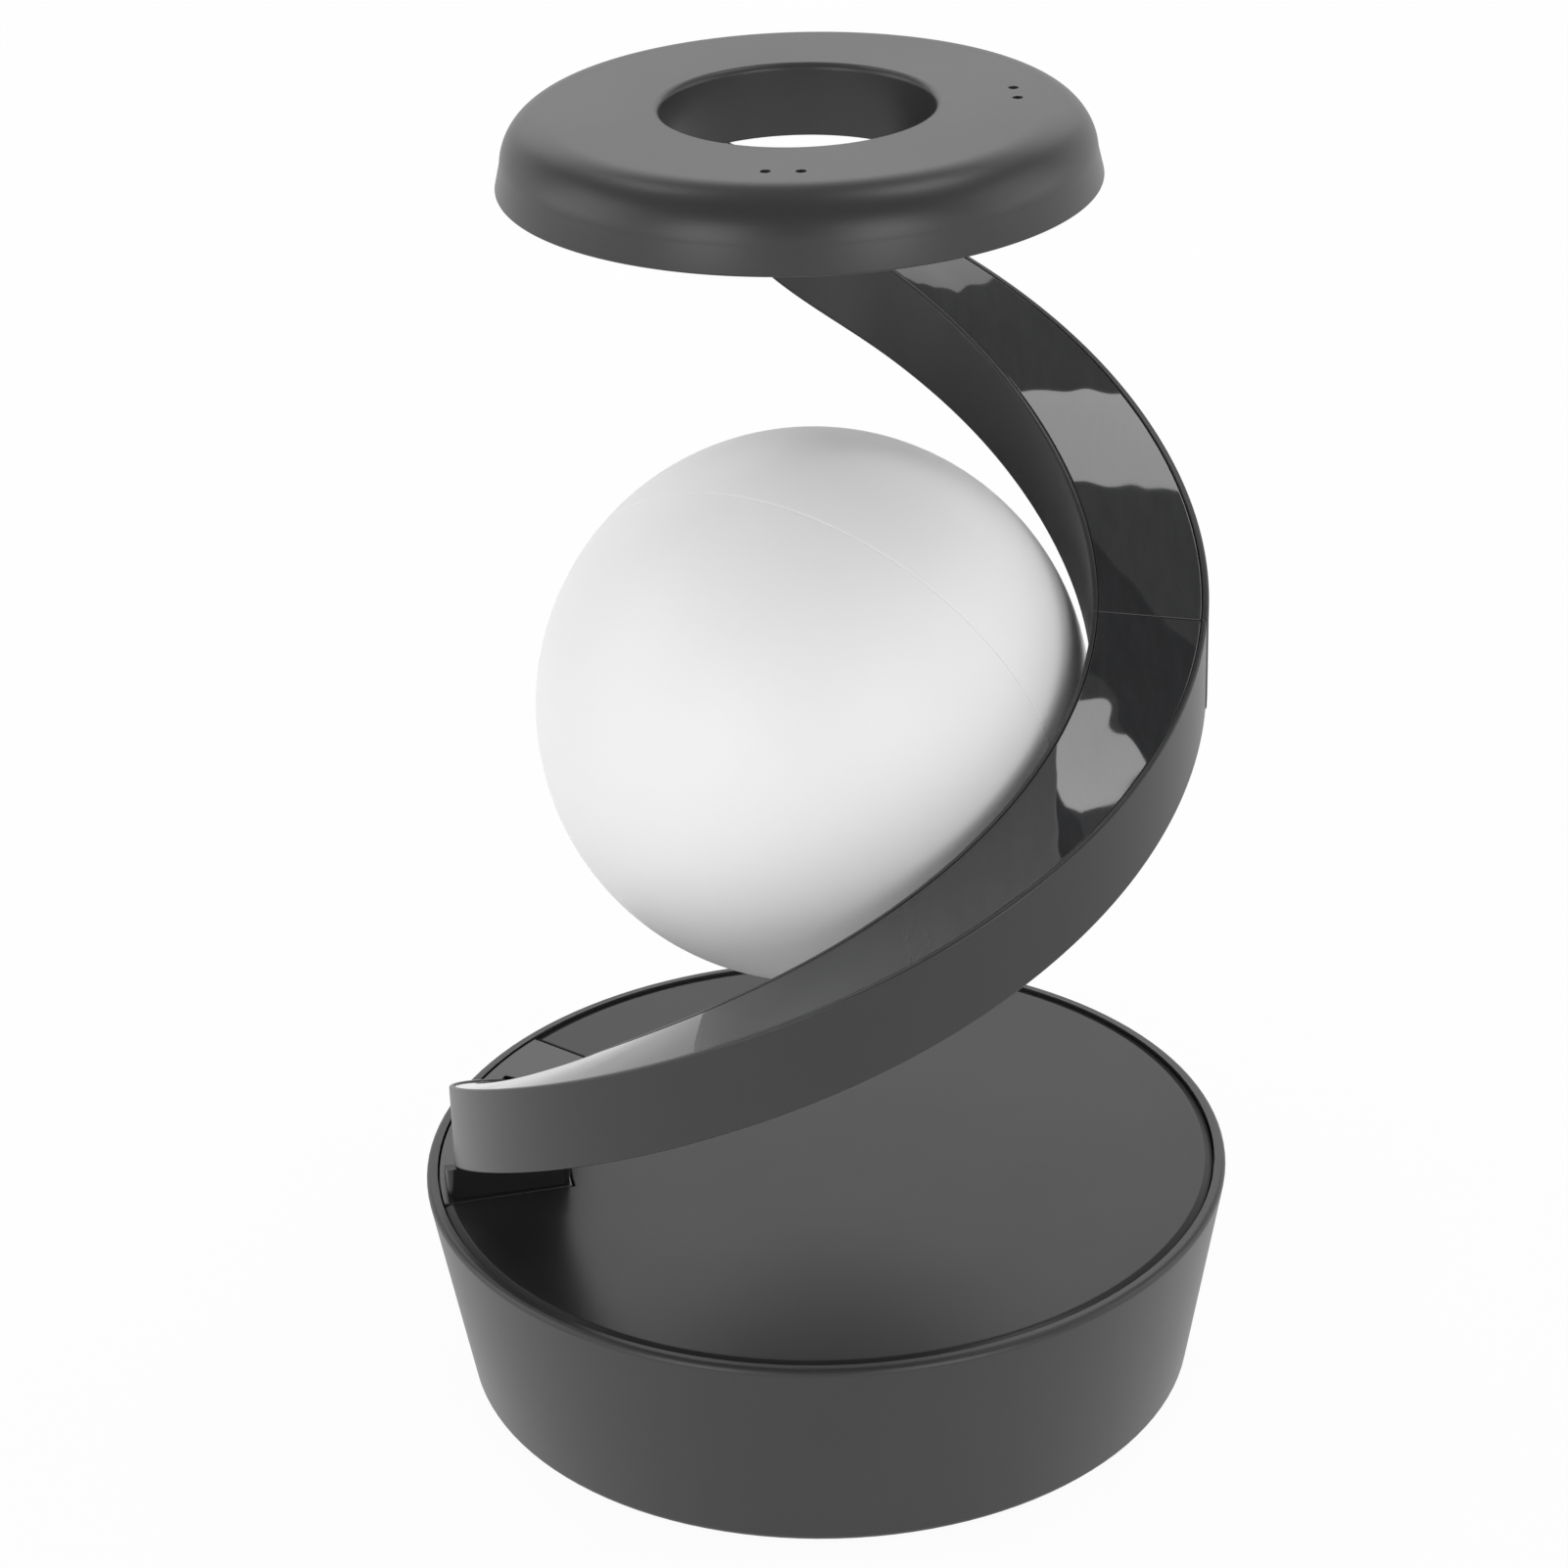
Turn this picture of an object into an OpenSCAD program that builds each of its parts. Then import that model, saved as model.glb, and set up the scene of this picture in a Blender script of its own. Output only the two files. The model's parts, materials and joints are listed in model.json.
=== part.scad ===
// Spiral bedside lamp: a round weighted base, a helical arm that climbs one
// turn from the base to a flat ring, and a frosted ball that turns on a short
// spindle inside the spiral. Millimetres, +Z up, front of the lamp towards -Y.
// Angles along the arm are counted anticlockwise from +X, seen from above.

/* [Base] */
// Outer diameter of the base at its rim
base_d = 160; // [130:1:200]
// How much narrower the base is across its foot than across its rim
base_taper = 14; // [4:1:30]
// Height of the base bowl
base_h = 43.4; // [38:0.2:60]
// Wall of the moulded base bowl
base_wall = 2.4; // [1.6:0.1:4]
// Width of the flat lip round the top plate
lip_w = 2.2; // [1.6:0.1:4]
// Thickness of the top plate
plate_t = 3; // [2:0.1:5]
// Depth of the top plate below the lip
plate_drop = 0.2; // [0:0.1:1.5]
// Height that the rubber feet lift the bowl off the table
stand_gap = 1.2; // [0.6:0.1:4]

/* [Arm] */
// Distance from the base's rim in to the arm's outer face at its widest
arm_inset = 1; // [0:0.5:8]
// Radial width of the arm
arm_w = 21.5; // [16:0.5:26]
// Height of the arm's section
arm_h = 18.4; // [14:0.2:24]
// Wall of the two arm channels
arm_wall = 2.2; // [1.4:0.1:3.5]
// Angle at which the arm comes out of its foot
arm_from = 155; // [145:1:165]
// Angle of the seam between the lower and the upper half of the arm
arm_seam = 345; // [340:1:355]
// Angle at which the arm meets the underside of the ring
arm_top_at = 483; // [475:1:490]
// Angle at which the arm ends under the ring
arm_to = 510; // [502:1:511]
// Thickness of the glossy strips let into the top of the arm
strip_t = 1.4; // [1:0.1:2.5]
// Visible edge of the channel beside each strip
strip_edge = 1; // [0.6:0.1:1.6]

/* [Ring] */
// Outer diameter of the ring at its lower edge
ring_d = 109.2; // [96:0.4:130]
// Diameter of the hole through the ring
ring_hole_d = 49.4; // [30:0.4:56]
// Height of the ring
ring_h = 13.6; // [12:0.2:24]
// Height of the lamp from the table to the top of the ring
lamp_h = 260.7; // [240:0.5:290]
// Wall of the ring's moulded cap
ring_wall = 2; // [1.4:0.1:3]
// Rounding of the ring's outer top edge
ring_round = 9.4; // [3:0.2:11]
// Diameter of the pin holes over the touch pads
pin_hole_d = 1.7; // [1:0.1:3]

/* [Ball] */
// Gap between the ball and the arm where they come nearest
ball_gap = 0.86; // [0.6:0.02:6]
// Depth of the ball's spindle below the middle of the arm's section
ball_drop = 3.65; // [2.5:0.05:4]
// Wall of the ball's two shells
ball_wall = 2; // [1.4:0.1:3]
// Angle of the ball's spindle, seen from above
ball_axis_turn = 327.75; // [325:0.25:330]
// Rise of the ball's spindle towards the arm
ball_axis_rise = 0.35; // [0:0.05:1]
// Turn of the ball on its spindle, which tilts its parting line
ball_turn = -63; // [-180:1:180]
// Diameter of the spindle that the ball turns on
spindle_d = 5.6; // [5:0.1:6]

/* [Hidden] */
$fn = 96;
overrun = 1;                     // how far cuts run past a face
fit = 0.1;                       // gap between seated pieces
running_fit = 0.05;              // radial gap of the ball's collar on its spindle
thread_fit = 0.05;               // radial gap round a screw's shank
seam_gap = 0.35;                 // dark line round the top plate and the foot
arc_steps = 8;
ball_steps = 24;
sweep_step = 3;                  // degrees between sections of the arm
slope_turn = 1;                  // degrees over which the arm's slope is taken
turn_play = 0.1;                 // degrees between seated pieces along the arm
turn_overrun = 1;                // degrees that cuts along the arm run past a face

// Base, worked out
rim_round = 1.2;
edge_round = 1.6;
ledge_t = 2.6;
floor_t = 2.4;
floor_inset = 0.6;
plate_bevel_w = 1.4;
plate_bevel_h = 0.5;
base_r = base_d / 2;
foot_r = base_r - base_taper / 2;
base_z = stand_gap;
base_top = base_z + base_h;
plate_top = base_top - plate_drop;
ledge_top = plate_top - plate_t;
ledge_low = ledge_top - ledge_t;
recess_r = base_r - lip_w;
floor_low = base_z + floor_inset;
floor_top = floor_low + floor_t;
lean = atan2(base_r - foot_r, base_h);
function wall_r(z) = foot_r + (base_r - foot_r) * (z - base_z) / base_h;

// Screws: small ones for boards, larger ones for the housings
screw_d = 3;
screw_head_d = 5.6;
screw_head_h = 2;
small_screw_d = 2;
small_head_d = 3.8;
small_head_h = 1.4;
drive_share = 0.9;               // width of the drive socket, of the shank
drive_depth_share = 0.6;         // depth of the drive socket, of the head

// Columns under the ledge, which the floor is screwed to
column_d = 8;
column_blend = 0.4;
column_r = foot_r - base_wall - column_d / 2 + column_blend;
column_angles = [45, 135, 225, 315];
ledge_r = column_r;              // the ledge reaches in over the columns
floor_screw_l = 10;

// Plate bosses, which pass through the ledge
plate_boss_d = 6.4;
plate_boss_inset = 8.7;
plate_boss_r = base_r - plate_boss_inset;
plate_boss_angles = [8, 70, 212, 285];
plate_screw_l = 4.5;
plate_head_d = 8.4;

// Rubber feet
pad_d = 13;
pad_recess = 0.8;
pad_inset = 17.3;
pad_r = foot_r - pad_inset;
pad_angles = [0, 90, 180, 270];

// Ballast and driver board
ballast_r = 40;
ballast_t = 7;
ballast_screw_inset = 6.8;
ballast_screw_r = ballast_r - ballast_screw_inset;
ballast_screw_angles = [45, 165, 285];
board_w = 62;
board_l = 38;
board_t = 1.6;
board_z = 19;
post_d = 6.4;
post_inset = 4;
post_places = [for (x = [-1, 1], y = [-1, 1])
    [x * (board_w / 2 - post_inset), y * (board_l / 2 - post_inset)]];
board_screw_l = 5;
coil_d = 12;
coil_h = 7;
coil_x = -14;
chip_w = 9;
chip_t = 1.6;
chip_x = 6;
plug_w = 8;
plug_l = 6;
plug_h = 5;
plug_x = 22;
plug_y = 6;

// Power socket in the rear wall
socket_up = 14;
socket_z = base_z + socket_up;
socket_w = 9;
socket_h = 3.3;
socket_l = 9;
socket_wall = 0.4;
tongue_w = 6.2;
tongue_h = 0.8;
socket_board_w = 16;
socket_board_l = 18;
socket_recess_d = 17;
socket_recess_t = 1;
socket_screw_x = 4.6;
socket_screw_l = 5;
socket_out_y = wall_r(socket_z) - socket_recess_t - fit;
socket_board_z = socket_z - socket_h / 2 - board_t;
socket_post_y = socket_out_y - socket_board_l + post_d / 2;

// Arm: outer radius 45 degrees apart, from one step before the arm's start to
// two steps past its last turn, as shares of the widest radius and, where it
// nears the ring, of the ring's radius
arm_r = base_r - arm_inset;
ring_r = ring_d / 2;
arm_shares = [0.935, 0.933, 0.945, 0.979, 1, 0.97, 0.878, 0.779];
end_shares = [0.909, 0.948, 1.013];
reaches = concat(arm_r * arm_shares, ring_r * end_shares);
reach_first = 110;
reach_step = 45;
climb_bow_share = 0.025;
climb_lag_share = 0.0035;
climb_wave_share = 0.0045;
seam_step = 0.2;                 // the upper half stands this proud of the lower
arm_floor = 2.2;
strip_low = 0.15;                // the strips lie this far below the edges
end_turn = 7;                    // degrees of channel past the meeting with the ring
end_from = arm_top_at + end_turn;
ring_low = lamp_h - ring_h;
cover_inset = 1;
arm_end_z = ring_low + cover_inset;
least_turn = 0.3;                // degrees between sections, at the least
strip_phase = 0.5;               // place in the grid of the strips and their rebate
channel_phase = 0.25;            // place in the grid of the channel and its contents

function hermite(p0, p1, p2, p3, t) = 0.5 * (2 * p1 + (p2 - p0) * t
    + (2 * p0 - 5 * p1 + 4 * p2 - p3) * t * t
    + (3 * p1 - p0 - 3 * p2 + p3) * t * t * t);
function reach(a) = let (u = (a - reach_first) / reach_step, i = max(1, floor(u)))
    hermite(reaches[i - 1], reaches[i], reaches[i + 1], reaches[i + 2], u - i);
// The arm climbs evenly, but for a small bow.
function bow(s) = climb_bow_share * sin(180 * s) - climb_lag_share * sin(360 * s)
    + climb_wave_share * sin(540 * s);
function climb(a) = let (s = (a - arm_from) / (arm_top_at - arm_from))
    plate_top + (arm_end_z - plate_top) * (s + bow(s));
function slope(a) = atan2(climb(a + slope_turn) - climb(a - slope_turn),
    (reach(a) - arm_w / 2) * sin(2 * slope_turn));
// A point of the arm at angle a, x in from its outer face and y down from its
// top.
function free_point(a, x, y) = let (r = reach(a) - x)
    [r * cos(a), r * sin(a), climb(a) - y];
// The arm's ends are cut level, where it stands on the ledge and where it
// meets the ring.
function arm_point(a, x, y) = let (p = free_point(a, x, y))
    [p[0], p[1], min(max(p[2], ledge_top), arm_end_z)];
// Angles of the sections between two angles. All but the ends stand on one
// grid, so that pieces seated on each other share facets. Cuts take a phase of
// the grid, so that no edge of theirs meets an edge of the arm.
function steps(from, to, phase = 0) = concat([from],
    [for (i = [floor(from / sweep_step) - 1:ceil(to / sweep_step)])
        let (a = (i + phase) * sweep_step)
        if (a > from + least_turn && a < to - least_turn) a],
    [to]);
function box_section(x0, y0, x1, y1) = [[x0, y0], [x1, y0], [x1, y1], [x0, y1]];
function round_section(x, y, r, n) =
    [for (i = [0:n - 1]) [x + r * cos(360 * i / n), y + r * sin(360 * i / n)]];

// Foot of the arm. The arm's end is solid up to where its underside has
// climbed above the ledge.
foot_margin = 0.6;
block_margin = 2.4;
foot_lead = 13;                  // degrees before the arm's start
peg_lead = 8;
screw_trail = 8;                 // degrees past it
block_trail = 2.5;               // degrees past the solid end
wire_trail = 3.5;
foot_screw_trail = 11;
foot_trail = 15.5;
tenon_to = [for (a = [arm_from:arm_top_at]) if (climb(a) - arm_h > ledge_top) a][0];
foot_from = arm_from - foot_lead;
foot_to = tenon_to + foot_trail;
foot_in_r = reach(arm_from) - arm_w - foot_margin;
foot_out_r = recess_r - seam_gap;
block_out_r = reach(foot_to) + block_margin;
block_round = 1.6;
block_from = tenon_to + block_trail;
block_step = 0.4;
slot_to = [for (a = [block_from:least_turn:foot_to])
    if (climb(a) - arm_h > plate_top + 2 * fit) a][0];
foot_screw_a = tenon_to + foot_screw_trail;
foot_screw_inset = [6.4, 7.4];
foot_screw_r = [foot_in_r + foot_screw_inset[0], foot_out_r - foot_screw_inset[1]];
foot_screw_l = 7;
peg_d = 4;
peg_a = arm_from - peg_lead;
peg_r = (foot_in_r + foot_out_r) / 2;
shelf_lap = 2.6;
shelf_in_r = foot_in_r - shelf_lap;
shelf_margin = 3;
tenon_pitch = 8.8;
tenon_screw_a = [for (i = [0, 1]) arm_from + screw_trail
    + i * tenon_pitch / (reach(arm_from) - arm_w / 2) * 180 / PI];
tenon_cover = 1.5;
tenon_screw_l = climb(tenon_screw_a[0]) - strip_low - strip_t - tenon_cover
    - ledge_low;
wire_hole_d = 5;
wire_hole_a = tenon_to + wire_trail;
rib_t = 2.4;
rib_h = 16;

// Splice between the two halves of the arm
splice_span = 6;
splice_t = 5;
splice_grip = 1.4;
splice_screw_off = 3.4;
splice_n = splice_t * cos(slope(arm_seam));

// Loom of wires under the strips
wire_d = 2.4;
wire_sides = 8;

// Ring
ring_hole_r = ring_hole_d / 2;
ring_flare = 1;
lip_round = 1.3;
cover_t = 2.4;
cover_in_r = ring_hole_r + ring_wall + fit;
cover_out_r = ring_r - ring_wall - fit
    - ring_flare * (cover_inset + cover_t) / (ring_h - ring_round);
cover_top = arm_end_z + cover_t;
ring_boss_d = 7;
ring_boss_r = (cover_in_r + cover_out_r) / 2;
ring_boss_angles = [20, 230, 310];
ring_screw_l = 8;
end_screw_a = 496;
end_screw_pitch = 11;
end_screw_r = [for (side = [-1, 1])
    reach(end_screw_a) - arm_w / 2 + side * end_screw_pitch / 2];
end_screw_l = 9;
ring_wire_a = arm_top_at + 3;
ring_wire_d = 5;
ring_wire_r = reach(ring_wire_a) - arm_wall - ring_wire_d / 2;
touch_in_r = 30;
touch_out_r = 46.5;
touch_t = 1.2;
touch_gap = 1.2;
touch_z = lamp_h - ring_wall - touch_gap - touch_t;
stake_angles = [60, 180, 275];
stake_d = 2.6;
stake_shoulder_d = 5;
stake_tip = 1;
stake_r = 34;
pin_circle_r = 39.2;
pin_spacing = 6.1;
pin_angles = [266.5, 4.5];
pin_turn = asin(pin_spacing / 2 / pin_circle_r);
lamp_chip_w = 1.6;
lamp_chip_t = 0.8;

// Ball and its mounting, along the spindle from the middle of the ball
ball_z = climb(ball_axis_turn) - arm_h / 2 - ball_drop
    - (reach(ball_axis_turn) - arm_w / 2) * sin(ball_axis_rise);
// The ball fills the room inside the arm, but for its gap.
function room(a) = norm([reach(a) - arm_w,
    max(0, climb(a) - arm_h - ball_z, ball_z - climb(a))]);
ball_r = min([for (a = [arm_from:arm_to]) room(a)]) - ball_gap;
hub_d = 9.2;
hub_flange_d = 14;
hub_flange_t = 2.4;
hub_flange_depth = 8.5;
hub_flange_s = ball_r - hub_flange_depth;
hub_depth = 12.8;
hub_in_s = ball_r - hub_depth;
hub_out_s = sqrt(ball_r * ball_r - hub_d * hub_d / 4);
boss_d = 18;
boss_step = 0.5;
boss_in_s = hub_in_s + boss_step;
shoulder_gap = 0.3;
shoulder_s = hub_out_s + shoulder_gap;
shoulder_t = 1.5;
pad_s = shoulder_s + shoulder_t;
arm_boss_d = 9;
arm_boss_t = 2.2;
spindle_bore = 2.6;
wall_in_s = reach(ball_axis_turn) - arm_w;
nut_s = wall_in_s + arm_wall + arm_boss_t;
nut_t = 4;
nut_d = 8.8;
thread_end = 1.5;
spindle_out_s = nut_s + nut_t + thread_end;
washer_t = 1;
washer_d = 11;
clip_t = 1;
clip_d = 9;
clip_groove = 0.5;
clip_s = hub_in_s - fit - washer_t - clip_t;
holder_t = 2;
holder_d = 32;
holder_neck_d = 11;
holder_neck_l = 6;
light_inset = 24;
light_s = hub_in_s - light_inset;
light_d = 30;
light_t = 1.6;
light_chip_w = 5;
light_chip_t = 1.6;
light_chip_count = 6;
light_chip_r = 9.5;
spindle_in_s = light_s + light_t + holder_t;
ball_lip_h = 2.2;
ball_lip_t = 0.9;

// Shared shapes

function arc(cx, cy, r, from, to) = [for (i = [0:arc_steps])
    let (a = from + (to - from) * i / arc_steps)
    [cx + r * cos(a), cy + r * sin(a)]];

function arc_fine(r, from, to) = [for (i = [0:ball_steps])
    let (a = from + (to - from) * i / ball_steps) [r * cos(a), r * sin(a)]];

// A solid through a row of sections, each a list of points in space. The
// diagonals of its side faces lean the other way where flip is true.
module loft(rows, flip = false) {
    n = len(rows[0]);
    m = len(rows);
    polyhedron(
        points = [for (row = rows, p = row) p],
        faces = concat(
            [[for (i = [n - 1:-1:0]) i]],
            [[for (i = [0:n - 1]) (m - 1) * n + i]],
            [for (j = [0:m - 2], i = [0:n - 1], k = [0, 1])
                let (a = j * n + i, b = j * n + (i + 1) % n)
                flip ? (k == 0 ? [a, b, a + n] : [b, b + n, a + n])
                    : (k == 0 ? [a, b, b + n] : [a, b + n, a + n])]),
        convexity = 8);
}

// A section carried along the arm from one angle to another.
module along_arm(section, from, to, phase) {
    loft([for (a = steps(from, to, phase))
        [for (p = section) free_point(a, p[0], p[1])]]);
}

// Puts its children on the arm's channel, square to its slope.
module on_arm(a, x, y) {
    rotate([0, 0, a])
        translate([reach(a) - x, 0, climb(a) - y])
            rotate([slope(a), 0, 0])
                children();
}

// Puts its children on the spindle's line, which becomes their Z axis.
module on_spindle(s) {
    translate([0, 0, ball_z])
        rotate([0, 90 - ball_axis_rise, ball_axis_turn])
            translate([0, 0, s])
                children();
}

module tube(r_out, r_in, h) {
    difference() {
        cylinder(r = r_out, h = h);
        translate([0, 0, -overrun])
            cylinder(r = r_in, h = h + 2 * overrun);
    }
}

// A part of a ring between two angles.
module sector(r_in, r_out, z, h, from, to) {
    rotate([0, 0, from])
        rotate_extrude(angle = to - from)
            translate([r_in, z])
                square([r_out - r_in, h]);
}

module at_polar(r, a, z) {
    rotate([0, 0, a])
        translate([r, 0, z])
            children();
}

// A screw that points up, with its head's bearing face at z = 0.
module screw(d, l, head_d, head_h) {
    difference() {
        union() {
            cylinder(d = d, h = l);
            translate([0, 0, -head_h])
                cylinder(d = head_d, h = head_h);
        }
        translate([0, 0, -head_h - overrun])
            cylinder(d = d * drive_share, h = head_h * drive_depth_share + overrun,
                $fn = 6);
    }
}

module housing_screw(l) {
    screw(screw_d, l, screw_head_d, screw_head_h);
}

module small_screw(l) {
    screw(small_screw_d, l, small_head_d, small_head_h);
}

// A pilot hole that a screw of length l fills, from z = 0 up.
module pilot(d, l) {
    translate([0, 0, -overrun])
        cylinder(r = d / 2 + thread_fit, h = l + overrun + fit);
}

// Base

module bowl_section() {
    polygon(concat(
        arc(foot_r - edge_round, base_z + edge_round, edge_round, -90, -lean),
        arc(base_r - rim_round, base_top - rim_round, rim_round, -lean, 90),
        [[recess_r, base_top],
         [recess_r, ledge_top],
         [ledge_r, ledge_top],
         [ledge_r, ledge_low],
         [wall_r(ledge_low) - base_wall, ledge_low],
         [wall_r(base_z) - base_wall, base_z]]));
}

module socket_hole() {
    translate([0, wall_r(socket_z) - socket_recess_t, socket_z])
        rotate([-90, 0, 0])
            cylinder(d = socket_recess_d, h = base_wall + overrun);
    translate([-socket_w / 2 - fit, wall_r(socket_z) - socket_l,
        socket_z - socket_h / 2 - fit])
        cube([socket_w + 2 * fit, socket_l + overrun, socket_h + 2 * fit]);
}

module base_bowl() {
    color([0.27, 0.27, 0.28])
    difference() {
        union() {
            rotate_extrude()
                bowl_section();
            for (a = column_angles)
                at_polar(column_r, a, floor_top)
                    cylinder(d = column_d, h = ledge_low + ledge_t / 2 - floor_top);
            sector(shelf_in_r, ledge_r + overrun, ledge_low, ledge_t,
                foot_from - shelf_margin, foot_to + shelf_margin);
            for (a = [foot_from, (tenon_screw_a[0] + tenon_screw_a[1]) / 2, foot_to])
                rotate([0, 0, a])
                    translate([shelf_in_r, -rib_t / 2, ledge_low - rib_h])
                        cube([wall_r(ledge_low - rib_h) - base_wall / 2
                            - shelf_in_r, rib_t, rib_h + ledge_t / 2]);
        }
        for (a = column_angles)
            at_polar(column_r, a, floor_top)
                pilot(screw_d, floor_screw_l);
        for (a = plate_boss_angles)
            at_polar(plate_boss_r, a, ledge_low - overrun)
                cylinder(r = plate_boss_d / 2 + fit, h = ledge_t + 2 * overrun);
        for (a = tenon_screw_a)
            at_polar(reach(a) - arm_w / 2, a, ledge_low)
                pilot(screw_d, ledge_t + overrun);
        for (r = foot_screw_r)
            at_polar(r, foot_screw_a, ledge_low)
                pilot(screw_d, ledge_t + overrun);
        at_polar(peg_r, peg_a, ledge_low - overrun)
            cylinder(r = peg_d / 2 + fit, h = ledge_t + 2 * overrun);
        at_polar(reach(wire_hole_a) - arm_w / 2, wire_hole_a, ledge_low - overrun)
            cylinder(d = wire_hole_d, h = ledge_t + 2 * overrun);
        socket_hole();
    }
}

module base_floor() {
    color([0.2, 0.2, 0.21])
    difference() {
        union() {
            translate([0, 0, floor_low])
                cylinder(r = wall_r(floor_low) - base_wall - fit, h = floor_t);
            for (p = post_places)
                translate([p[0], p[1], floor_top - fit])
                    cylinder(d = post_d, h = board_z - floor_top + fit);
            for (x = [-1, 1])
                translate([x * socket_screw_x, socket_post_y, floor_top - fit])
                    cylinder(d = post_d, h = socket_board_z - floor_top + fit);
        }
        for (a = column_angles)
            at_polar(column_r, a, floor_low) {
                translate([0, 0, -overrun])
                    cylinder(r = screw_d / 2 + fit, h = floor_t + 2 * overrun);
                translate([0, 0, -overrun])
                    cylinder(r = screw_head_d / 2 + fit,
                        h = overrun + floor_t / 2);
            }
        for (a = pad_angles)
            at_polar(pad_r, a, floor_low - overrun)
                cylinder(d = pad_d + 2 * fit, h = pad_recess + overrun);
        for (p = post_places)
            translate([p[0], p[1], board_z])
                mirror([0, 0, 1])
                    pilot(small_screw_d, board_screw_l - board_t);
        for (x = [-1, 1])
            translate([x * socket_screw_x, socket_post_y, socket_board_z])
                mirror([0, 0, 1])
                    pilot(small_screw_d, socket_screw_l - board_t);
        for (a = ballast_screw_angles)
            at_polar(ballast_screw_r, a, floor_low)
                pilot(screw_d, floor_t);
    }
}

module floor_screws() {
    color([0.55, 0.55, 0.57])
    for (a = column_angles)
        at_polar(column_r, a, floor_low + floor_t / 2)
            housing_screw(floor_screw_l);
}

module rubber_feet() {
    color([0.08, 0.08, 0.08])
    for (a = pad_angles)
        at_polar(pad_r, a, 0)
            cylinder(d = pad_d, h = floor_low + pad_recess);
}

module ballast_plate() {
    color([0.5, 0.5, 0.52])
    difference() {
        translate([0, 0, floor_top])
            cylinder(r = ballast_r, h = ballast_t);
        for (p = post_places)
            translate([p[0], p[1], floor_top - overrun])
                cylinder(r = post_d / 2 + 2 * fit, h = ballast_t + 2 * overrun);
        for (a = ballast_screw_angles)
            at_polar(ballast_screw_r, a, floor_top - overrun)
                cylinder(r = screw_d / 2 + fit, h = ballast_t + 2 * overrun);
    }
}

module ballast_screws() {
    color([0.55, 0.55, 0.57])
    for (a = ballast_screw_angles)
        at_polar(ballast_screw_r, a, floor_top + ballast_t)
            mirror([0, 0, 1])
                housing_screw(ballast_t + floor_t / 2);
}

module driver_board() {
    color([0.1, 0.3, 0.2])
    difference() {
        translate([-board_w / 2, -board_l / 2, board_z])
            cube([board_w, board_l, board_t]);
        for (p = post_places)
            translate([p[0], p[1], board_z - overrun])
                cylinder(r = small_screw_d / 2 + fit, h = board_t + 2 * overrun);
    }
}

// A coil, a driver chip and the plug of the wires to the arm.
module board_parts() {
    top = board_z + board_t;
    color([0.15, 0.15, 0.16]) {
        translate([coil_x, 0, top])
            cylinder(d = coil_d, h = coil_h);
        translate([chip_x - chip_w / 2, -chip_w / 2, top])
            cube([chip_w, chip_w, chip_t]);
        translate([plug_x - plug_w / 2, -plug_y - plug_l / 2, top])
            cube([plug_w, plug_l, plug_h]);
    }
}

module board_screws() {
    color([0.6, 0.6, 0.62])
    for (p = post_places)
        translate([p[0], p[1], board_z + board_t])
            mirror([0, 0, 1])
                small_screw(board_screw_l);
}

// Power comes in through a flat socket in the rear wall, on its own board.
module power_socket() {
    low = socket_z - socket_h / 2;
    color([0.62, 0.62, 0.64])
    difference() {
        union() {
            difference() {
                translate([-socket_w / 2, socket_out_y - socket_l, low])
                    cube([socket_w, socket_l, socket_h]);
                translate([-socket_w / 2 + socket_wall,
                    socket_out_y - socket_l + 2 * socket_wall, low + socket_wall])
                    cube([socket_w - 2 * socket_wall, socket_l,
                        socket_h - 2 * socket_wall]);
            }
            translate([-tongue_w / 2, socket_out_y - socket_l + socket_wall,
                socket_z - tongue_h / 2])
                cube([tongue_w, socket_l - 2 * socket_wall, tongue_h]);
            translate([-socket_board_w / 2, socket_out_y - socket_board_l,
                socket_board_z])
                cube([socket_board_w, socket_board_l - 2 * base_wall, board_t]);
        }
        for (x = [-1, 1])
            translate([x * socket_screw_x, socket_post_y, socket_board_z - overrun])
                cylinder(r = small_screw_d / 2 + fit, h = board_t + 2 * overrun);
    }
}

module socket_screws() {
    color([0.6, 0.6, 0.62])
    for (x = [-1, 1])
        translate([x * socket_screw_x, socket_post_y, socket_board_z + board_t])
            mirror([0, 0, 1])
                small_screw(socket_screw_l);
}

// The plate is notched round the arm's foot and hangs on bosses that pass
// through the bowl's ledge.
module top_plate() {
    plate_r = recess_r - seam_gap;
    color([0.24, 0.24, 0.25])
    difference() {
        union() {
            rotate_extrude()
                polygon([[0, ledge_top], [plate_r, ledge_top],
                    [plate_r, plate_top - plate_bevel_h],
                    [plate_r - plate_bevel_w, plate_top],
                    [0, plate_top]]);
            for (a = plate_boss_angles)
                at_polar(plate_boss_r, a, ledge_low)
                    cylinder(d = plate_boss_d, h = ledge_t + fit);
        }
        sector(foot_in_r - seam_gap, base_r, ledge_top - overrun,
            plate_t + 2 * overrun, foot_from - seam_gap, foot_to + seam_gap);
        for (a = plate_boss_angles)
            at_polar(plate_boss_r, a, ledge_low)
                pilot(screw_d, plate_screw_l);
    }
}

module plate_screws() {
    color([0.55, 0.55, 0.57])
    for (a = plate_boss_angles)
        at_polar(plate_boss_r, a, ledge_low)
            screw(screw_d, plate_screw_l, plate_head_d, screw_head_h);
}

// Foot and arm

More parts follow.
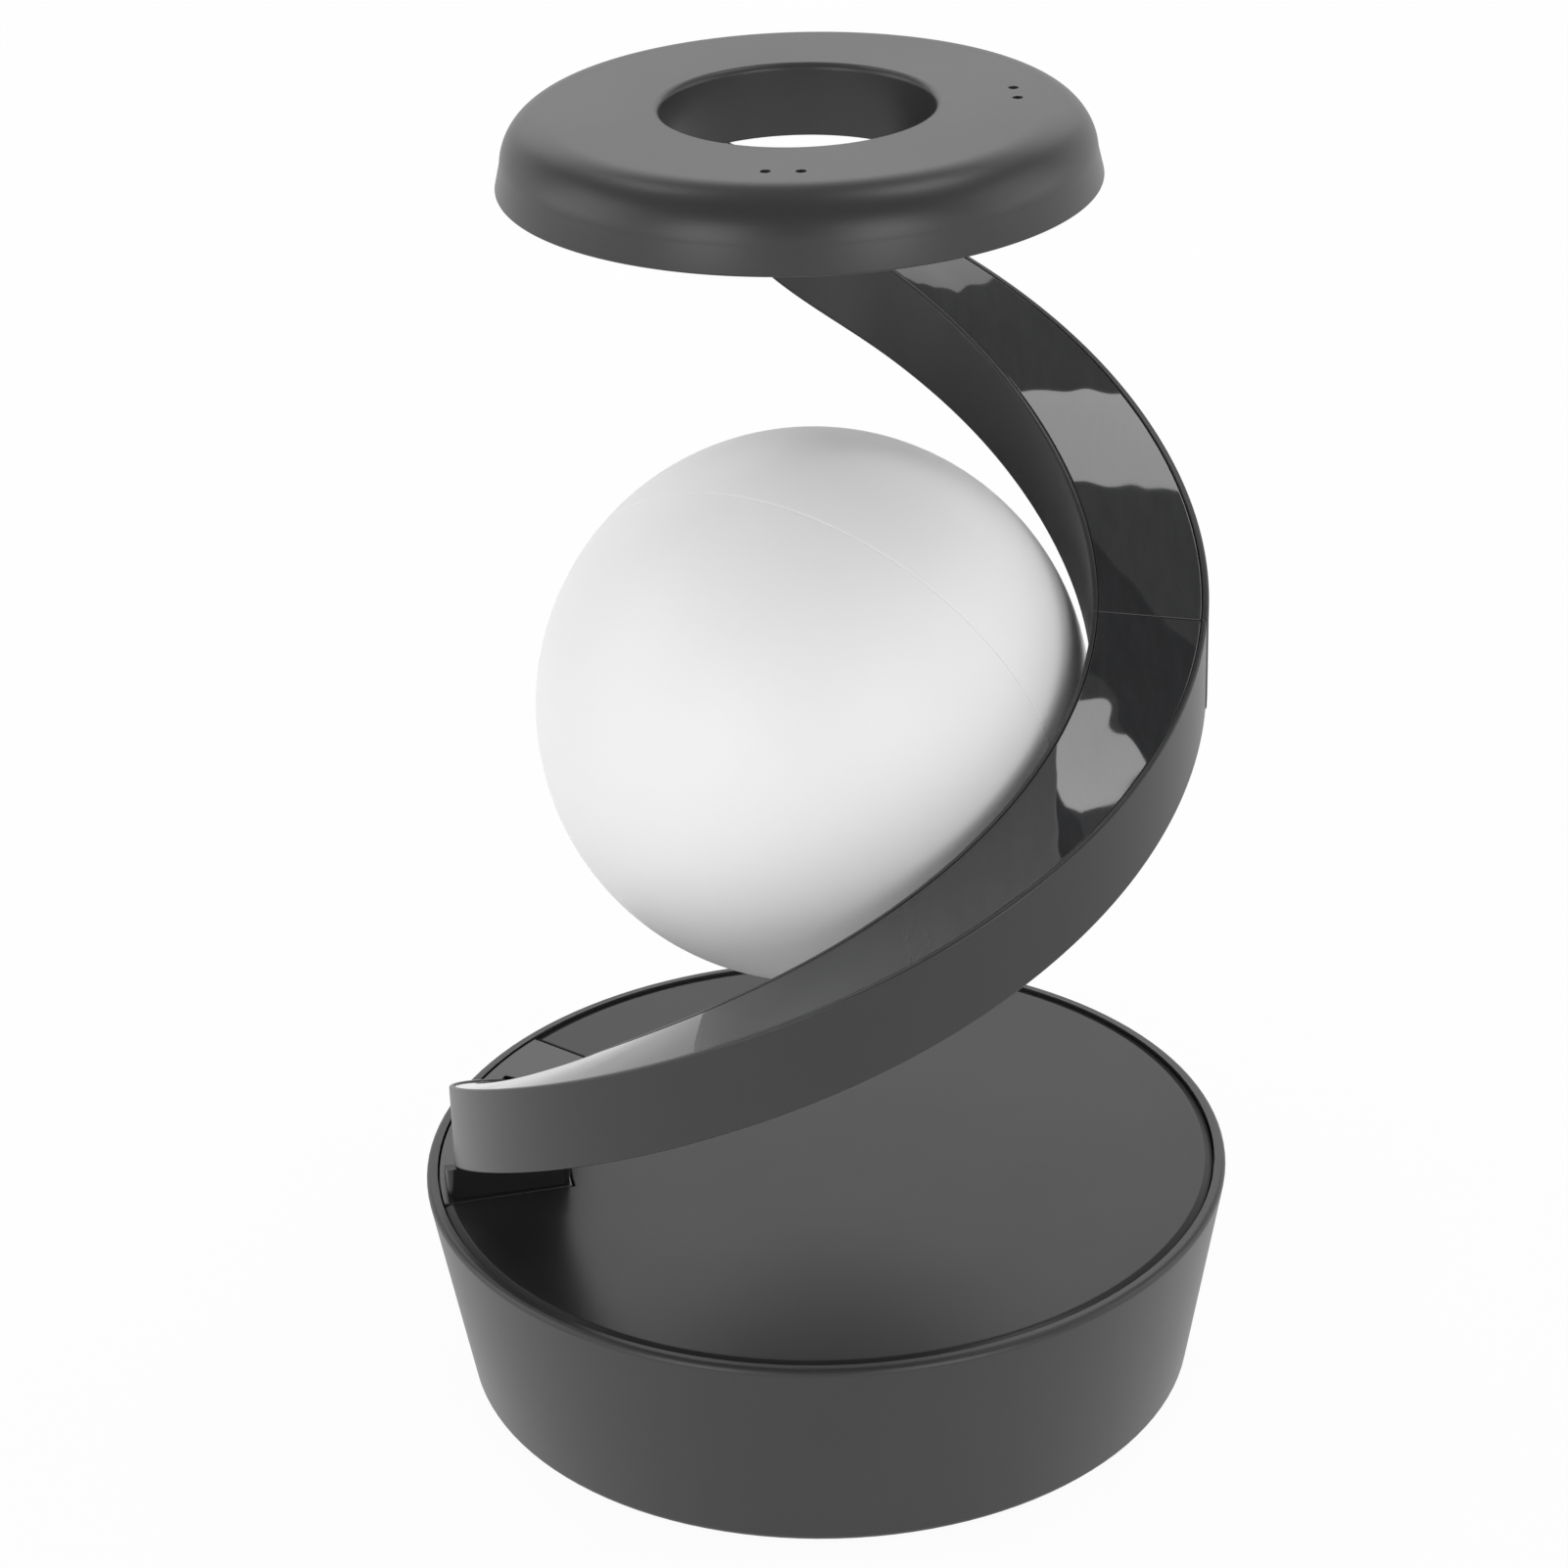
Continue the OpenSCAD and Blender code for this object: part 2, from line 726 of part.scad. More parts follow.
// The foot's raised block, which fills the space under the arm's low end. Its
// front corners are rounded.
module foot_block() {
    turn = block_round / foot_out_r * 180 / PI;
    end = foot_to - block_step / foot_out_r * 180 / PI;
    low = ledge_top + plate_t / 3;
    rows = concat(
        [for (a = steps(block_from, end - turn)) [a, block_step]],
        [for (i = [1:arc_steps]) let (t = 90 * i / arc_steps)
            [end - turn * (1 - sin(t)), block_step + block_round * (1 - cos(t))]]);
    loft([for (row = rows)
        let (a = row[0], c = row[1], r0 = foot_in_r + c, r1 = block_out_r - c,
            top = climb(a) - arm_h - 2 * fit)
        [[r1 * cos(a), r1 * sin(a), top], [r0 * cos(a), r0 * sin(a), top],
         [r0 * cos(a), r0 * sin(a), low], [r1 * cos(a), r1 * sin(a), low]]],
        flip = true);
}

// The slot through which the arm comes up.
module foot_slot() {
    low = ledge_top - overrun;
    top = plate_top + overrun;
    loft([for (a = steps(arm_from - turn_overrun, slot_to))
        let (r0 = reach(a) - arm_w - fit, r1 = reach(a) + fit)
        [[r1 * cos(a), r1 * sin(a), top], [r0 * cos(a), r0 * sin(a), top],
         [r0 * cos(a), r0 * sin(a), low], [r1 * cos(a), r1 * sin(a), low]]]);
}

module arm_foot() {
    color([0.2, 0.2, 0.21])
    difference() {
        union() {
            difference() {
                sector(foot_in_r, foot_out_r, ledge_top, plate_t, foot_from,
                    foot_to);
                foot_slot();
            }
            foot_block();
            at_polar(peg_r, peg_a, ledge_low)
                cylinder(d = peg_d, h = ledge_t + fit);
        }
        for (r = foot_screw_r)
            at_polar(r, foot_screw_a, ledge_top)
                pilot(screw_d, foot_screw_l - ledge_t);
    }
}

module foot_screws() {
    color([0.55, 0.55, 0.57])
    for (r = foot_screw_r)
        at_polar(r, foot_screw_a, ledge_low)
            housing_screw(foot_screw_l);
}

// A solid stretch of the arm, standing proud by out.
module arm_body(from, to, out) {
    loft([for (a = steps(from, to))
        [for (p = box_section(-out, 0, arm_w, arm_h)) arm_point(a, p[0], p[1])]]);
}

// The channel inside the arm, and the rebate for its strip.
module arm_channel(from, to) {
    along_arm(box_section(arm_wall, strip_t / 2, arm_w - arm_wall,
        arm_h - arm_floor), from, to, channel_phase);
}

module strip_rebate(from, to) {
    along_arm(box_section(strip_edge, -overrun, arm_w - strip_edge, strip_t + strip_low),
        from, to, strip_phase);
}

module spindle_hole() {
    on_spindle(0) {
        translate([0, 0, pad_s])
            cylinder(r = spindle_d / 2 + running_fit, h = nut_s + overrun - pad_s);
        translate([0, 0, pad_s - arm_boss_d])
            cylinder(d = arm_boss_d + 2 * fit, h = arm_boss_d);
        translate([0, 0, nut_s])
            cylinder(d = arm_boss_d + 2 * fit, h = spindle_out_s - nut_s + overrun);
    }
}

module lower_arm() {
    color([0.3, 0.3, 0.31])
    difference() {
        union() {
            difference() {
                arm_body(arm_from + turn_overrun / 2, arm_seam, 0);
                arm_channel(tenon_to, arm_seam + turn_overrun);
                strip_rebate(arm_from + sweep_step, arm_seam + turn_overrun);
            }
            on_spindle(pad_s)
                cylinder(d = arm_boss_d, h = nut_s - pad_s);
        }
        spindle_hole();
        for (a = tenon_screw_a)
            at_polar(reach(a) - arm_w / 2, a, ledge_top)
                pilot(screw_d, tenon_screw_l - ledge_t);
        at_polar(reach(wire_hole_a) - arm_w / 2, wire_hole_a, ledge_top - overrun)
            cylinder(d = wire_hole_d, h = arm_h);
        on_arm(arm_seam - splice_screw_off, arm_w / 2, arm_h - arm_floor)
            mirror([0, 0, 1])
                pilot(small_screw_d, splice_grip);
    }
}

module arm_screws() {
    color([0.55, 0.55, 0.57])
    for (a = tenon_screw_a)
        at_polar(reach(a) - arm_w / 2, a, ledge_low)
            housing_screw(tenon_screw_l);
}

module upper_arm() {
    color([0.3, 0.3, 0.31])
    difference() {
        arm_body(arm_seam + turn_play / 2, arm_to, seam_step);
        arm_channel(arm_seam - turn_overrun, end_from);
        strip_rebate(arm_seam - turn_overrun / 2, end_from - turn_overrun);
        for (r = end_screw_r)
            at_polar(r, end_screw_a, arm_end_z)
                mirror([0, 0, 1])
                    pilot(screw_d, end_screw_l - cover_t);
        on_arm(arm_seam + splice_screw_off, arm_w / 2, arm_h - arm_floor)
            mirror([0, 0, 1])
                pilot(small_screw_d, splice_grip);
    }
}

// A glossy strip that closes the channel.
module strip(from, to) {
    along_arm(box_section(strip_edge + fit, strip_low, arm_w - strip_edge - fit,
        strip_t + strip_low), from, to, strip_phase);
}

module lower_strip() {
    color([0.12, 0.12, 0.13])
        strip(arm_from + sweep_step + 2 * turn_play, arm_seam - turn_play);
}

module upper_strip() {
    color([0.12, 0.12, 0.13])
        strip(arm_seam + turn_play, arm_top_at - turn_overrun);
}

// A bar in the channel floor joins the two halves.
module arm_splice() {
    color([0.4, 0.4, 0.42])
    difference() {
        along_arm(box_section(arm_wall + fit, arm_h - arm_floor - splice_t,
            arm_w - arm_wall - fit, arm_h - arm_floor),
            arm_seam - splice_span, arm_seam + splice_span, channel_phase);
        for (side = [-1, 1])
            on_arm(arm_seam + side * splice_screw_off, arm_w / 2, arm_h - arm_floor) {
                translate([0, 0, -overrun])
                    cylinder(r = small_screw_d / 2 + fit, h = splice_t + 2 * overrun);
                translate([0, 0, splice_n - small_head_h])
                    cylinder(r = small_head_d / 2 + 2 * fit, h = splice_t);
            }
    }
}

module splice_screws() {
    color([0.6, 0.6, 0.62])
    for (side = [-1, 1])
        on_arm(arm_seam + side * splice_screw_off, arm_w / 2, arm_h - arm_floor)
            translate([0, 0, splice_n - small_head_h])
                mirror([0, 0, 1])
                    small_screw(splice_n - small_head_h + splice_grip);
}

// The loom runs along the underside of the strips, from the base to the ring.
module arm_wires() {
    y = strip_low + strip_t + wire_d / 2 + fit;
    x = arm_wall + wire_d / 2 + fit;
    color([0.7, 0.7, 0.7])
        along_arm(round_section(x, y, wire_d / 2, wire_sides),
            wire_hole_a, arm_top_at + turn_overrun, channel_phase);
}

// Ball

module ball_spindle() {
    color([0.75, 0.75, 0.77])
    difference() {
        union() {
            on_spindle(spindle_in_s)
                cylinder(d = spindle_d, h = spindle_out_s - spindle_in_s);
            on_spindle(shoulder_s)
                cylinder(d = hub_d, h = shoulder_t);
        }
        on_spindle(spindle_in_s - overrun)
            cylinder(d = spindle_bore, h = spindle_out_s - spindle_in_s + 2 * overrun);
        on_spindle(clip_s)
            tube(spindle_d, spindle_d / 2 - clip_groove, clip_t);
    }
}

module spindle_nut() {
    color([0.7, 0.6, 0.35])
    difference() {
        on_spindle(nut_s)
            cylinder(d = nut_d, h = nut_t, $fn = 6);
        on_spindle(nut_s - overrun)
            cylinder(r = spindle_d / 2 + thread_fit, h = nut_t + 2 * overrun, $fn = 96);
    }
}

module thrust_washer() {
    color([0.85, 0.84, 0.8])
    on_spindle(clip_s + clip_t)
        tube(washer_d / 2, spindle_d / 2 + running_fit, washer_t);
}

module spindle_clip() {
    color([0.5, 0.5, 0.52])
    on_spindle(clip_s + fit / 2)
        tube(clip_d / 2, spindle_d / 2 - clip_groove + thread_fit, clip_t - fit);
}

// The hub turns on the spindle, and the two shells close round its flange.
module ball_hub() {
    color([0.8, 0.8, 0.8])
    difference() {
        union() {
            on_spindle(hub_in_s)
                cylinder(d = hub_d, h = hub_out_s - hub_in_s);
            on_spindle(hub_flange_s)
                cylinder(d = hub_flange_d, h = hub_flange_t);
        }
        on_spindle(hub_in_s - overrun)
            cylinder(r = spindle_d / 2 + running_fit,
                h = hub_out_s - hub_in_s + 2 * overrun);
    }
}

// One half of the ball, with its parting plane at z = 0 and the spindle along
// +X. The half boss inside it closes round the hub's flange.
module ball_half() {
    in_r = ball_r - ball_wall;
    difference() {
        union() {
            rotate_extrude()
                polygon(concat(arc_fine(ball_r, 0, 90), arc_fine(in_r, 90, 0)));
            intersection() {
                rotate([0, 90, 0])
                    translate([0, 0, boss_in_s])
                        cylinder(d = boss_d, h = ball_r - boss_in_s);
                rotate_extrude()
                    polygon(concat([[0, 0]], arc_fine(in_r + ball_wall / 2, 0, 90)));
            }
        }
        rotate([0, 90, 0]) {
            translate([0, 0, boss_in_s - overrun])
                cylinder(r = hub_d / 2 + fit, h = ball_r);
            translate([0, 0, hub_flange_s - fit])
                cylinder(r = hub_flange_d / 2 + fit, h = hub_flange_t + 2 * fit);
        }
    }
}

module place_ball() {
    translate([0, 0, ball_z])
        rotate([0, -ball_axis_rise, ball_axis_turn])
            rotate([ball_turn, 0, 0])
                children();
}

// The rear shell has a thin lip that the front shell closes over.
module rear_ball_shell() {
    lip_out = ball_r - ball_wall - 2 * fit;
    lip_in = ball_r - ball_wall - ball_lip_t;
    color([0.95, 0.95, 0.94])
    place_ball()
        union() {
            ball_half();
            difference() {
                rotate_extrude()
                    polygon([[lip_in, -ball_lip_h], [lip_out, -ball_lip_h],
                        [lip_out, 0], [lip_out + 4 * fit, 0],
                        [lip_out, ball_lip_h], [lip_in, ball_lip_h]]);
                rotate([0, 90, 0])
                    translate([0, 0, boss_in_s - overrun])
                        cylinder(d = boss_d + 4 * fit, h = ball_r);
            }
        }
}

module front_ball_shell() {
    color([0.95, 0.95, 0.94])
    place_ball()
        mirror([0, 0, 1])
            ball_half();
}

// The light board stands on a holder at the inner end of the spindle.
module light_holder() {
    color([0.85, 0.85, 0.85])
    difference() {
        union() {
            on_spindle(light_s + light_t)
                cylinder(d = holder_d, h = holder_t);
            on_spindle(light_s + light_t)
                cylinder(d = holder_neck_d, h = holder_t + holder_neck_l);
        }
        on_spindle(light_s + light_t + holder_t)
            cylinder(r = spindle_d / 2 + running_fit, h = holder_neck_l + overrun);
        on_spindle(light_s)
            cylinder(d = spindle_bore, h = light_t + holder_t + overrun);
    }
}

module light_board() {
    color([0.92, 0.92, 0.9])
    on_spindle(light_s)
        tube(light_d / 2, spindle_bore / 2, light_t);
}

module light_chips() {
    color([0.95, 0.85, 0.4])
    on_spindle(light_s - light_chip_t)
        for (i = [0:light_chip_count - 1])
            rotate([0, 0, 360 * i / light_chip_count])
                translate([light_chip_r - light_chip_w / 2, -light_chip_w / 2, 0])
                    cube([light_chip_w, light_chip_w, light_chip_t]);
}

// Ring

module ring_section() {
    in = ring_wall;
    top = lamp_h;
    out_r = ring_r - ring_flare - ring_round;
    polygon(concat(
        [[ring_r, ring_low]],
        arc(out_r, top - ring_round, ring_round, 0, 90),
        arc(ring_hole_r + lip_round, top - lip_round, lip_round, 90, 180),
        [[ring_hole_r, ring_low],
         [ring_hole_r + in, ring_low],
         [ring_hole_r + in, top - in]],
        arc(out_r, top - ring_round, ring_round - in, 90, 0),
        [[ring_r - in, ring_low]]));
}

module ring_cap() {
    color([0.36, 0.36, 0.37])
    difference() {
        union() {
            rotate_extrude()
                ring_section();
            for (a = ring_boss_angles)
                at_polar(ring_boss_r, a, cover_top)
                    cylinder(d = ring_boss_d, h = lamp_h - ring_wall / 2 - cover_top);
            for (a = stake_angles)
                at_polar(stake_r, a, touch_z + touch_t)
                    cylinder(d = stake_shoulder_d,
                        h = lamp_h - ring_wall / 2 - touch_z - touch_t);
            for (a = stake_angles)
                at_polar(stake_r, a, touch_z - stake_tip)
                    cylinder(d = stake_d, h = ring_wall + touch_t);
        }
        for (a = ring_boss_angles)
            at_polar(ring_boss_r, a, cover_top)
                pilot(screw_d, ring_screw_l - cover_t);
        for (a = pin_angles, side = [-1, 1])
            at_polar(pin_circle_r, a + side * pin_turn, lamp_h - ring_wall - overrun)
                cylinder(d = pin_hole_d, h = ring_wall + 2 * overrun);
    }
}

module ring_cover() {
    color([0.25, 0.25, 0.26])
    difference() {
        translate([0, 0, arm_end_z])
            tube(cover_out_r, cover_in_r, cover_t);
        for (a = ring_boss_angles)
            at_polar(ring_boss_r, a, arm_end_z) {
                translate([0, 0, -overrun])
                    cylinder(r = screw_d / 2 + fit, h = cover_t + 2 * overrun);
                translate([0, 0, -overrun])
                    cylinder(r = screw_head_d / 2 + fit, h = cover_t / 2 + overrun);
            }
        for (r = end_screw_r)
            at_polar(r, end_screw_a, arm_end_z - overrun)
                cylinder(r = screw_d / 2 + fit, h = cover_t + 2 * overrun);
        at_polar(ring_wire_r, ring_wire_a, arm_end_z - overrun)
            cylinder(d = ring_wire_d, h = cover_t + 2 * overrun);
    }
}

module ring_screws() {
    color([0.55, 0.55, 0.57])
    for (a = ring_boss_angles)
        at_polar(ring_boss_r, a, arm_end_z + cover_t / 2)
            screw(screw_d, ring_screw_l - cover_t / 2, screw_head_d,
                cover_t / 2);
}

// These hold the ring's cover down on the arm's end, from inside the ring.
module end_screws() {
    color([0.55, 0.55, 0.57])
    for (r = end_screw_r)
        at_polar(r, end_screw_a, cover_top)
            mirror([0, 0, 1])
                housing_screw(end_screw_l);
}

module touch_board() {
    color([0.1, 0.3, 0.2])
    difference() {
        translate([0, 0, touch_z])
            tube(touch_out_r, touch_in_r, touch_t);
        for (a = stake_angles)
            at_polar(stake_r, a, touch_z - overrun)
                cylinder(r = stake_d / 2 + fit, h = touch_t + 2 * overrun);
        for (a = ring_boss_angles)
            at_polar(ring_boss_r, a, touch_z - overrun)
                cylinder(r = ring_boss_d / 2 + 3 * fit, h = touch_t + 2 * overrun);
    }
}

module indicator_lights() {
    color([0.95, 0.95, 0.9])
    for (a = pin_angles, side = [-1, 1])
        at_polar(pin_circle_r, a + side * pin_turn, touch_z + touch_t)
            translate([-lamp_chip_w / 2, -lamp_chip_w / 2, 0])
                cube([lamp_chip_w, lamp_chip_w, lamp_chip_t]);
}

base_bowl();
base_floor();
floor_screws();
rubber_feet();
ballast_plate();
ballast_screws();
driver_board();
board_parts();
board_screws();
power_socket();
socket_screws();
top_plate();
plate_screws();
arm_foot();
foot_screws();
lower_arm();
arm_screws();
lower_strip();
upper_arm();
upper_strip();
arm_splice();
splice_screws();
arm_wires();
ball_spindle();
spindle_nut();
thrust_washer();
spindle_clip();
ball_hub();
rear_ball_shell();
front_ball_shell();
light_holder();
light_board();
light_chips();
ring_cap();
ring_cover();
ring_screws();
end_screws();
touch_board();
indicator_lights();
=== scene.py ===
import json
import math

import bmesh
import bpy
import numpy as np
from bpy.props import FloatProperty, FloatVectorProperty, PointerProperty
from bpy.types import Operator, Panel, PropertyGroup
from mathutils import Matrix


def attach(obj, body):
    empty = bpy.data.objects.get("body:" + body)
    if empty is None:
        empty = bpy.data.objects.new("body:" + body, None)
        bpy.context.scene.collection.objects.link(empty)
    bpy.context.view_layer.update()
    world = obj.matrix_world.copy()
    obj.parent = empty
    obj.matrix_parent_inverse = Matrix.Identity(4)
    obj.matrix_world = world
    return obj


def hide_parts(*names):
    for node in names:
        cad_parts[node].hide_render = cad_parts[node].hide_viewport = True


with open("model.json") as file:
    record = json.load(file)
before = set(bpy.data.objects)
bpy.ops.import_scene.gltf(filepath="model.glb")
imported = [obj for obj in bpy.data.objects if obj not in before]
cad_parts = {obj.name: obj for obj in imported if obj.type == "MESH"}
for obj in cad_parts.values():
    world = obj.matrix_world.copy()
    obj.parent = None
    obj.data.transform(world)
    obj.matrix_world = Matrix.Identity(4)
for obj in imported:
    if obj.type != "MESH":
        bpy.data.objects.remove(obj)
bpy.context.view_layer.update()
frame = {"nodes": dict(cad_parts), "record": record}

bl_info = {
    "name": "Spiral Bedside Lamp",
    "version": (1, 0, 0),
    "blender": (4, 5, 0),
    "location": "View3D > Sidebar > Lamp",
    "description": "A bedside lamp with a helical arm, a flat ring and a frosted ball",
    "category": "Add Mesh",
}

MM = 0.001
MERGE_DISTANCE = 0.001 * MM
LEAST_EDGE = 0.0001 * MM


# Sizes and finishes that a user would change

def length(name, description, default_mm):
    """A length in metres, whose default is given in millimetres."""
    return FloatProperty(name=name, description=description,
                         default=default_mm * MM, unit="LENGTH", precision=5)


def angle(name, description, default_degrees):
    """An angle in radians, whose default is given in degrees."""
    return FloatProperty(name=name, description=description,
                         default=math.radians(default_degrees), unit="ROTATION")


def colour(name, description, default):
    return FloatVectorProperty(name=name, description=description, default=default,
                               size=3, min=0.0, max=1.0, subtype="COLOR")


def factor(name, description, default):
    return FloatProperty(name=name, description=description, default=default,
                         min=0.0, max=1.0, subtype="FACTOR")


class LampBaseSizes(PropertyGroup):
    rim_radius: length("Rim Radius", "Outer radius of the base at its rim", 80)
    lip_width: length("Lip Width", "Width of the flat lip round the top plate", 2.2)
    plate_gap: length("Plate Gap", "Dark gap round the top plate and the foot", 0.35)
    plate_top: length("Plate Top", "Height of the top plate's face", 44.4)
    plate_thickness: length("Plate Thickness", "Thickness of the top plate", 3)
    bevel_width: length("Bevel Width", "Width of the plate's bevel", 1.4)
    bevel_height: length("Bevel Height", "Height of the plate's bevel", 0.5)
    edge: length("Edge", "Small rounding of moulded edges", 0.22)
    pad_radius: length("Pad Radius", "Radius of a rubber foot", 6.5)
    pad_reach: length("Pad Reach", "Distance of the rubber feet from the axis", 55.7)


class LampFootSizes(PropertyGroup):
    start: angle("Start", "Angle at which the foot starts", 142)
    end: angle("End", "Angle at which the foot ends", 193.5)
    inner_radius: length("Inner Radius", "Inner radius of the foot", 51.607)
    slot_end: angle("Slot End", "Angle at which the arm is clear of the slot", 182.7)
    block_start: angle("Block Start", "Angle at which the raised block starts", 180.5)
    block_step: length("Block Step", "Step from the flange in to the block", 0.4)
    block_radius: length("Block Radius", "Outer radius of the raised block", 76.8)
    block_round: length("Block Rounding", "Rounding of the block's front corners", 1.6)
    block_gap: length("Block Gap", "Gap between the block and the arm above it", 0.2)


class LampArmSizes(PropertyGroup):
    widest: length("Widest Radius", "Widest outer radius of the arm", 79)
    width: length("Width", "Radial width of the arm", 21.5)
    height: length("Height", "Height of the arm's section", 18.4)
    start: angle("Start", "Angle at which the arm comes out of its foot", 155)
    seam: angle("Seam", "Angle of the seam between the two halves", 345)
    meets_ring: angle("Meets Ring", "Angle at which the arm meets the ring", 483)
    end: angle("End", "Angle at which the arm ends under the ring", 510)
    strip_thickness: length("Strip Thickness", "Thickness of the glossy strips", 1.4)
    strip_edge: length("Strip Edge", "Edge of the channel beside each strip", 1)
    strip_depth: length("Strip Depth", "Depth of the strips below the edges", 0.15)
    edge: length("Edge", "Rounding of the arm's edges", 0.4)
    step: length("Seam Step", "The upper half stands this proud of the lower", 0.2)


class LampRingSizes(PropertyGroup):
    radius: length("Radius", "Outer radius of the ring at its lower edge", 54.6)
    hole_radius: length("Hole Radius", "Radius of the hole", 24.7)
    top: length("Top", "Height of the ring's top above the table", 260.7)
    height: length("Height", "Height of the ring", 13.6)
    flare: length("Flare", "How far the lower edge stands out", 1)
    rounding: length("Rounding", "Rounding of the outer top edge", 9.4)
    lip_rounding: length("Lip Rounding", "Rounding at the hole", 1.3)
    wall: length("Wall", "Wall of the moulded cap", 2)
    pin_radius: length("Pin Hole Radius", "Radius of the pin holes", 0.85)
    pin_circle: length("Pin Circle", "Radius of the circle of the pin holes", 39.2)
    pin_spacing: length("Pin Spacing", "Spacing of the two holes of a pair", 6.1)


class LampBallSizes(PropertyGroup):
    radius: length("Radius", "Radius of the ball", 52.79)
    height: length("Height", "Height of the ball's middle above the table", 142.73)
    wall: length("Wall", "Wall of the ball's shells", 2)
    axis_turn: angle("Axis Turn", "Angle of the spindle, seen from above", 327.75)
    axis_rise: angle("Axis Rise", "Rise of the spindle towards the arm", 0.35)
    turn: angle("Turn", "Turn of the ball on its spindle", -68.5)
    hub_radius: length("Hub Radius", "Radius of the hole for the hub", 4.7)
    edge: length("Edge", "Rounding of the shells' edges", 0.22)


class LampFinishes(PropertyGroup):
    housing: colour("Housing", "Colour of the matt mouldings", (0.025, 0.025, 0.026))
    plate: colour("Plate", "Colour of the top plate", (0.015, 0.015, 0.016))
    foot: colour("Foot", "Colour of the arm's foot", (0.010, 0.010, 0.011))
    strip: colour("Strip", "Colour of the glossy strips", (0.030, 0.0305, 0.032))
    ball: colour("Ball", "Colour of the frosted ball", (0.91, 0.91, 0.91))
    rubber: colour("Rubber", "Colour of the rubber feet", (0.018, 0.018, 0.018))
    housing_roughness: factor("Housing Roughness", "Roughness of the mouldings", 0.37)
    strip_roughness: factor("Strip Roughness", "Roughness of the strips", 0.035)


# Outlines and grids

def arc(centre_x, centre_y, radius, start, end, steps=12):
    """Points of an arc: the centre plus radius times the cosine and sine of an angle
    that goes evenly from start to end, in degrees."""
    t = np.radians(np.linspace(start, end, steps + 1))
    return np.stack([centre_x + radius * np.cos(t), centre_y + radius * np.sin(t)], 1)


def fillet(corners, steps=5):
    """Rounds the corners of a closed outline. At each corner (x, y, radius) the arc
    starts and ends on the two sides at radius / tan(half the corner's angle), and a
    further point beyond each end keeps the flat sides flat when they are shaded."""
    points = np.array([c[:2] for c in corners], float)
    rows = []
    for i, (_, _, radius) in enumerate(corners):
        here = points[i]
        if radius <= 0:
            rows.append(here[None])
            continue
        a = points[i - 1] - here
        b = points[(i + 1) % len(points)] - here
        a /= np.linalg.norm(a)
        b /= np.linalg.norm(b)
        half = math.acos(np.clip(a @ b, -1, 1)) / 2
        reach = radius / math.tan(half)
        middle = a + b
        middle /= np.linalg.norm(middle)
        centre = here + middle * radius / math.sin(half)
        from_centre = here + a * reach - centre
        to_centre = here + b * reach - centre
        sweep = math.pi - 2 * half
        t = np.linspace(0, 1, steps + 1)[:, None]
        curve = centre + (np.sin((1 - t) * sweep) * from_centre
                          + np.sin(t * sweep) * to_centre) / math.sin(sweep)
        hold = 0.3 * radius
        rows += [(here + a * (reach + hold))[None], curve,
                 (here + b * (reach + hold))[None]]
    return np.concatenate(rows)


def polar(radius, turn, height):
    """Points about +Z: x is the radius times the cosine of the turn, y is the radius
    times its sine, z is the height."""
    return np.stack(np.broadcast_arrays(radius * np.cos(turn), radius * np.sin(turn),
                                        height), -1)


def revolve(outline, angles):
    """Turns an outline of (radius, height) points to each angle, in radians."""
    radius, height = outline.T
    return polar(radius, np.asarray(angles)[:, None], height)


def around(count):
    """Angles of a full turn, without the repeated last one."""
    return np.linspace(0, 2 * np.pi, count, endpoint=False)


def round_in(edge, k):
    """How far a rounded edge has come in, and how far it stays below the flat face,
    as k goes from 0 to 1 along its quarter circle."""
    turn = k * math.pi / 2
    return edge * (1 - math.cos(turn)), edge * (1 - math.sin(turn))


def smooth_step(t):
    """Goes from 0 to 1 as t does, with level ends: three t squared less two t cubed."""
    t = np.clip(t, 0, 1)
    return t * t * (3 - 2 * t)


def quads_between(index):
    """The quads of a grid of point numbers, one between each four neighbours."""
    return np.stack([index[:-1, :-1], index[1:, :-1], index[1:, 1:],
                     index[:-1, 1:]], -1).reshape(-1, 4)


def placement(right, up, back, place):
    """A matrix from an object's own x, y and z directions and its place."""
    matrix = Matrix.Identity(4)
    for row in range(3):
        matrix[row] = right[row], up[row], back[row], place[row]
    return matrix


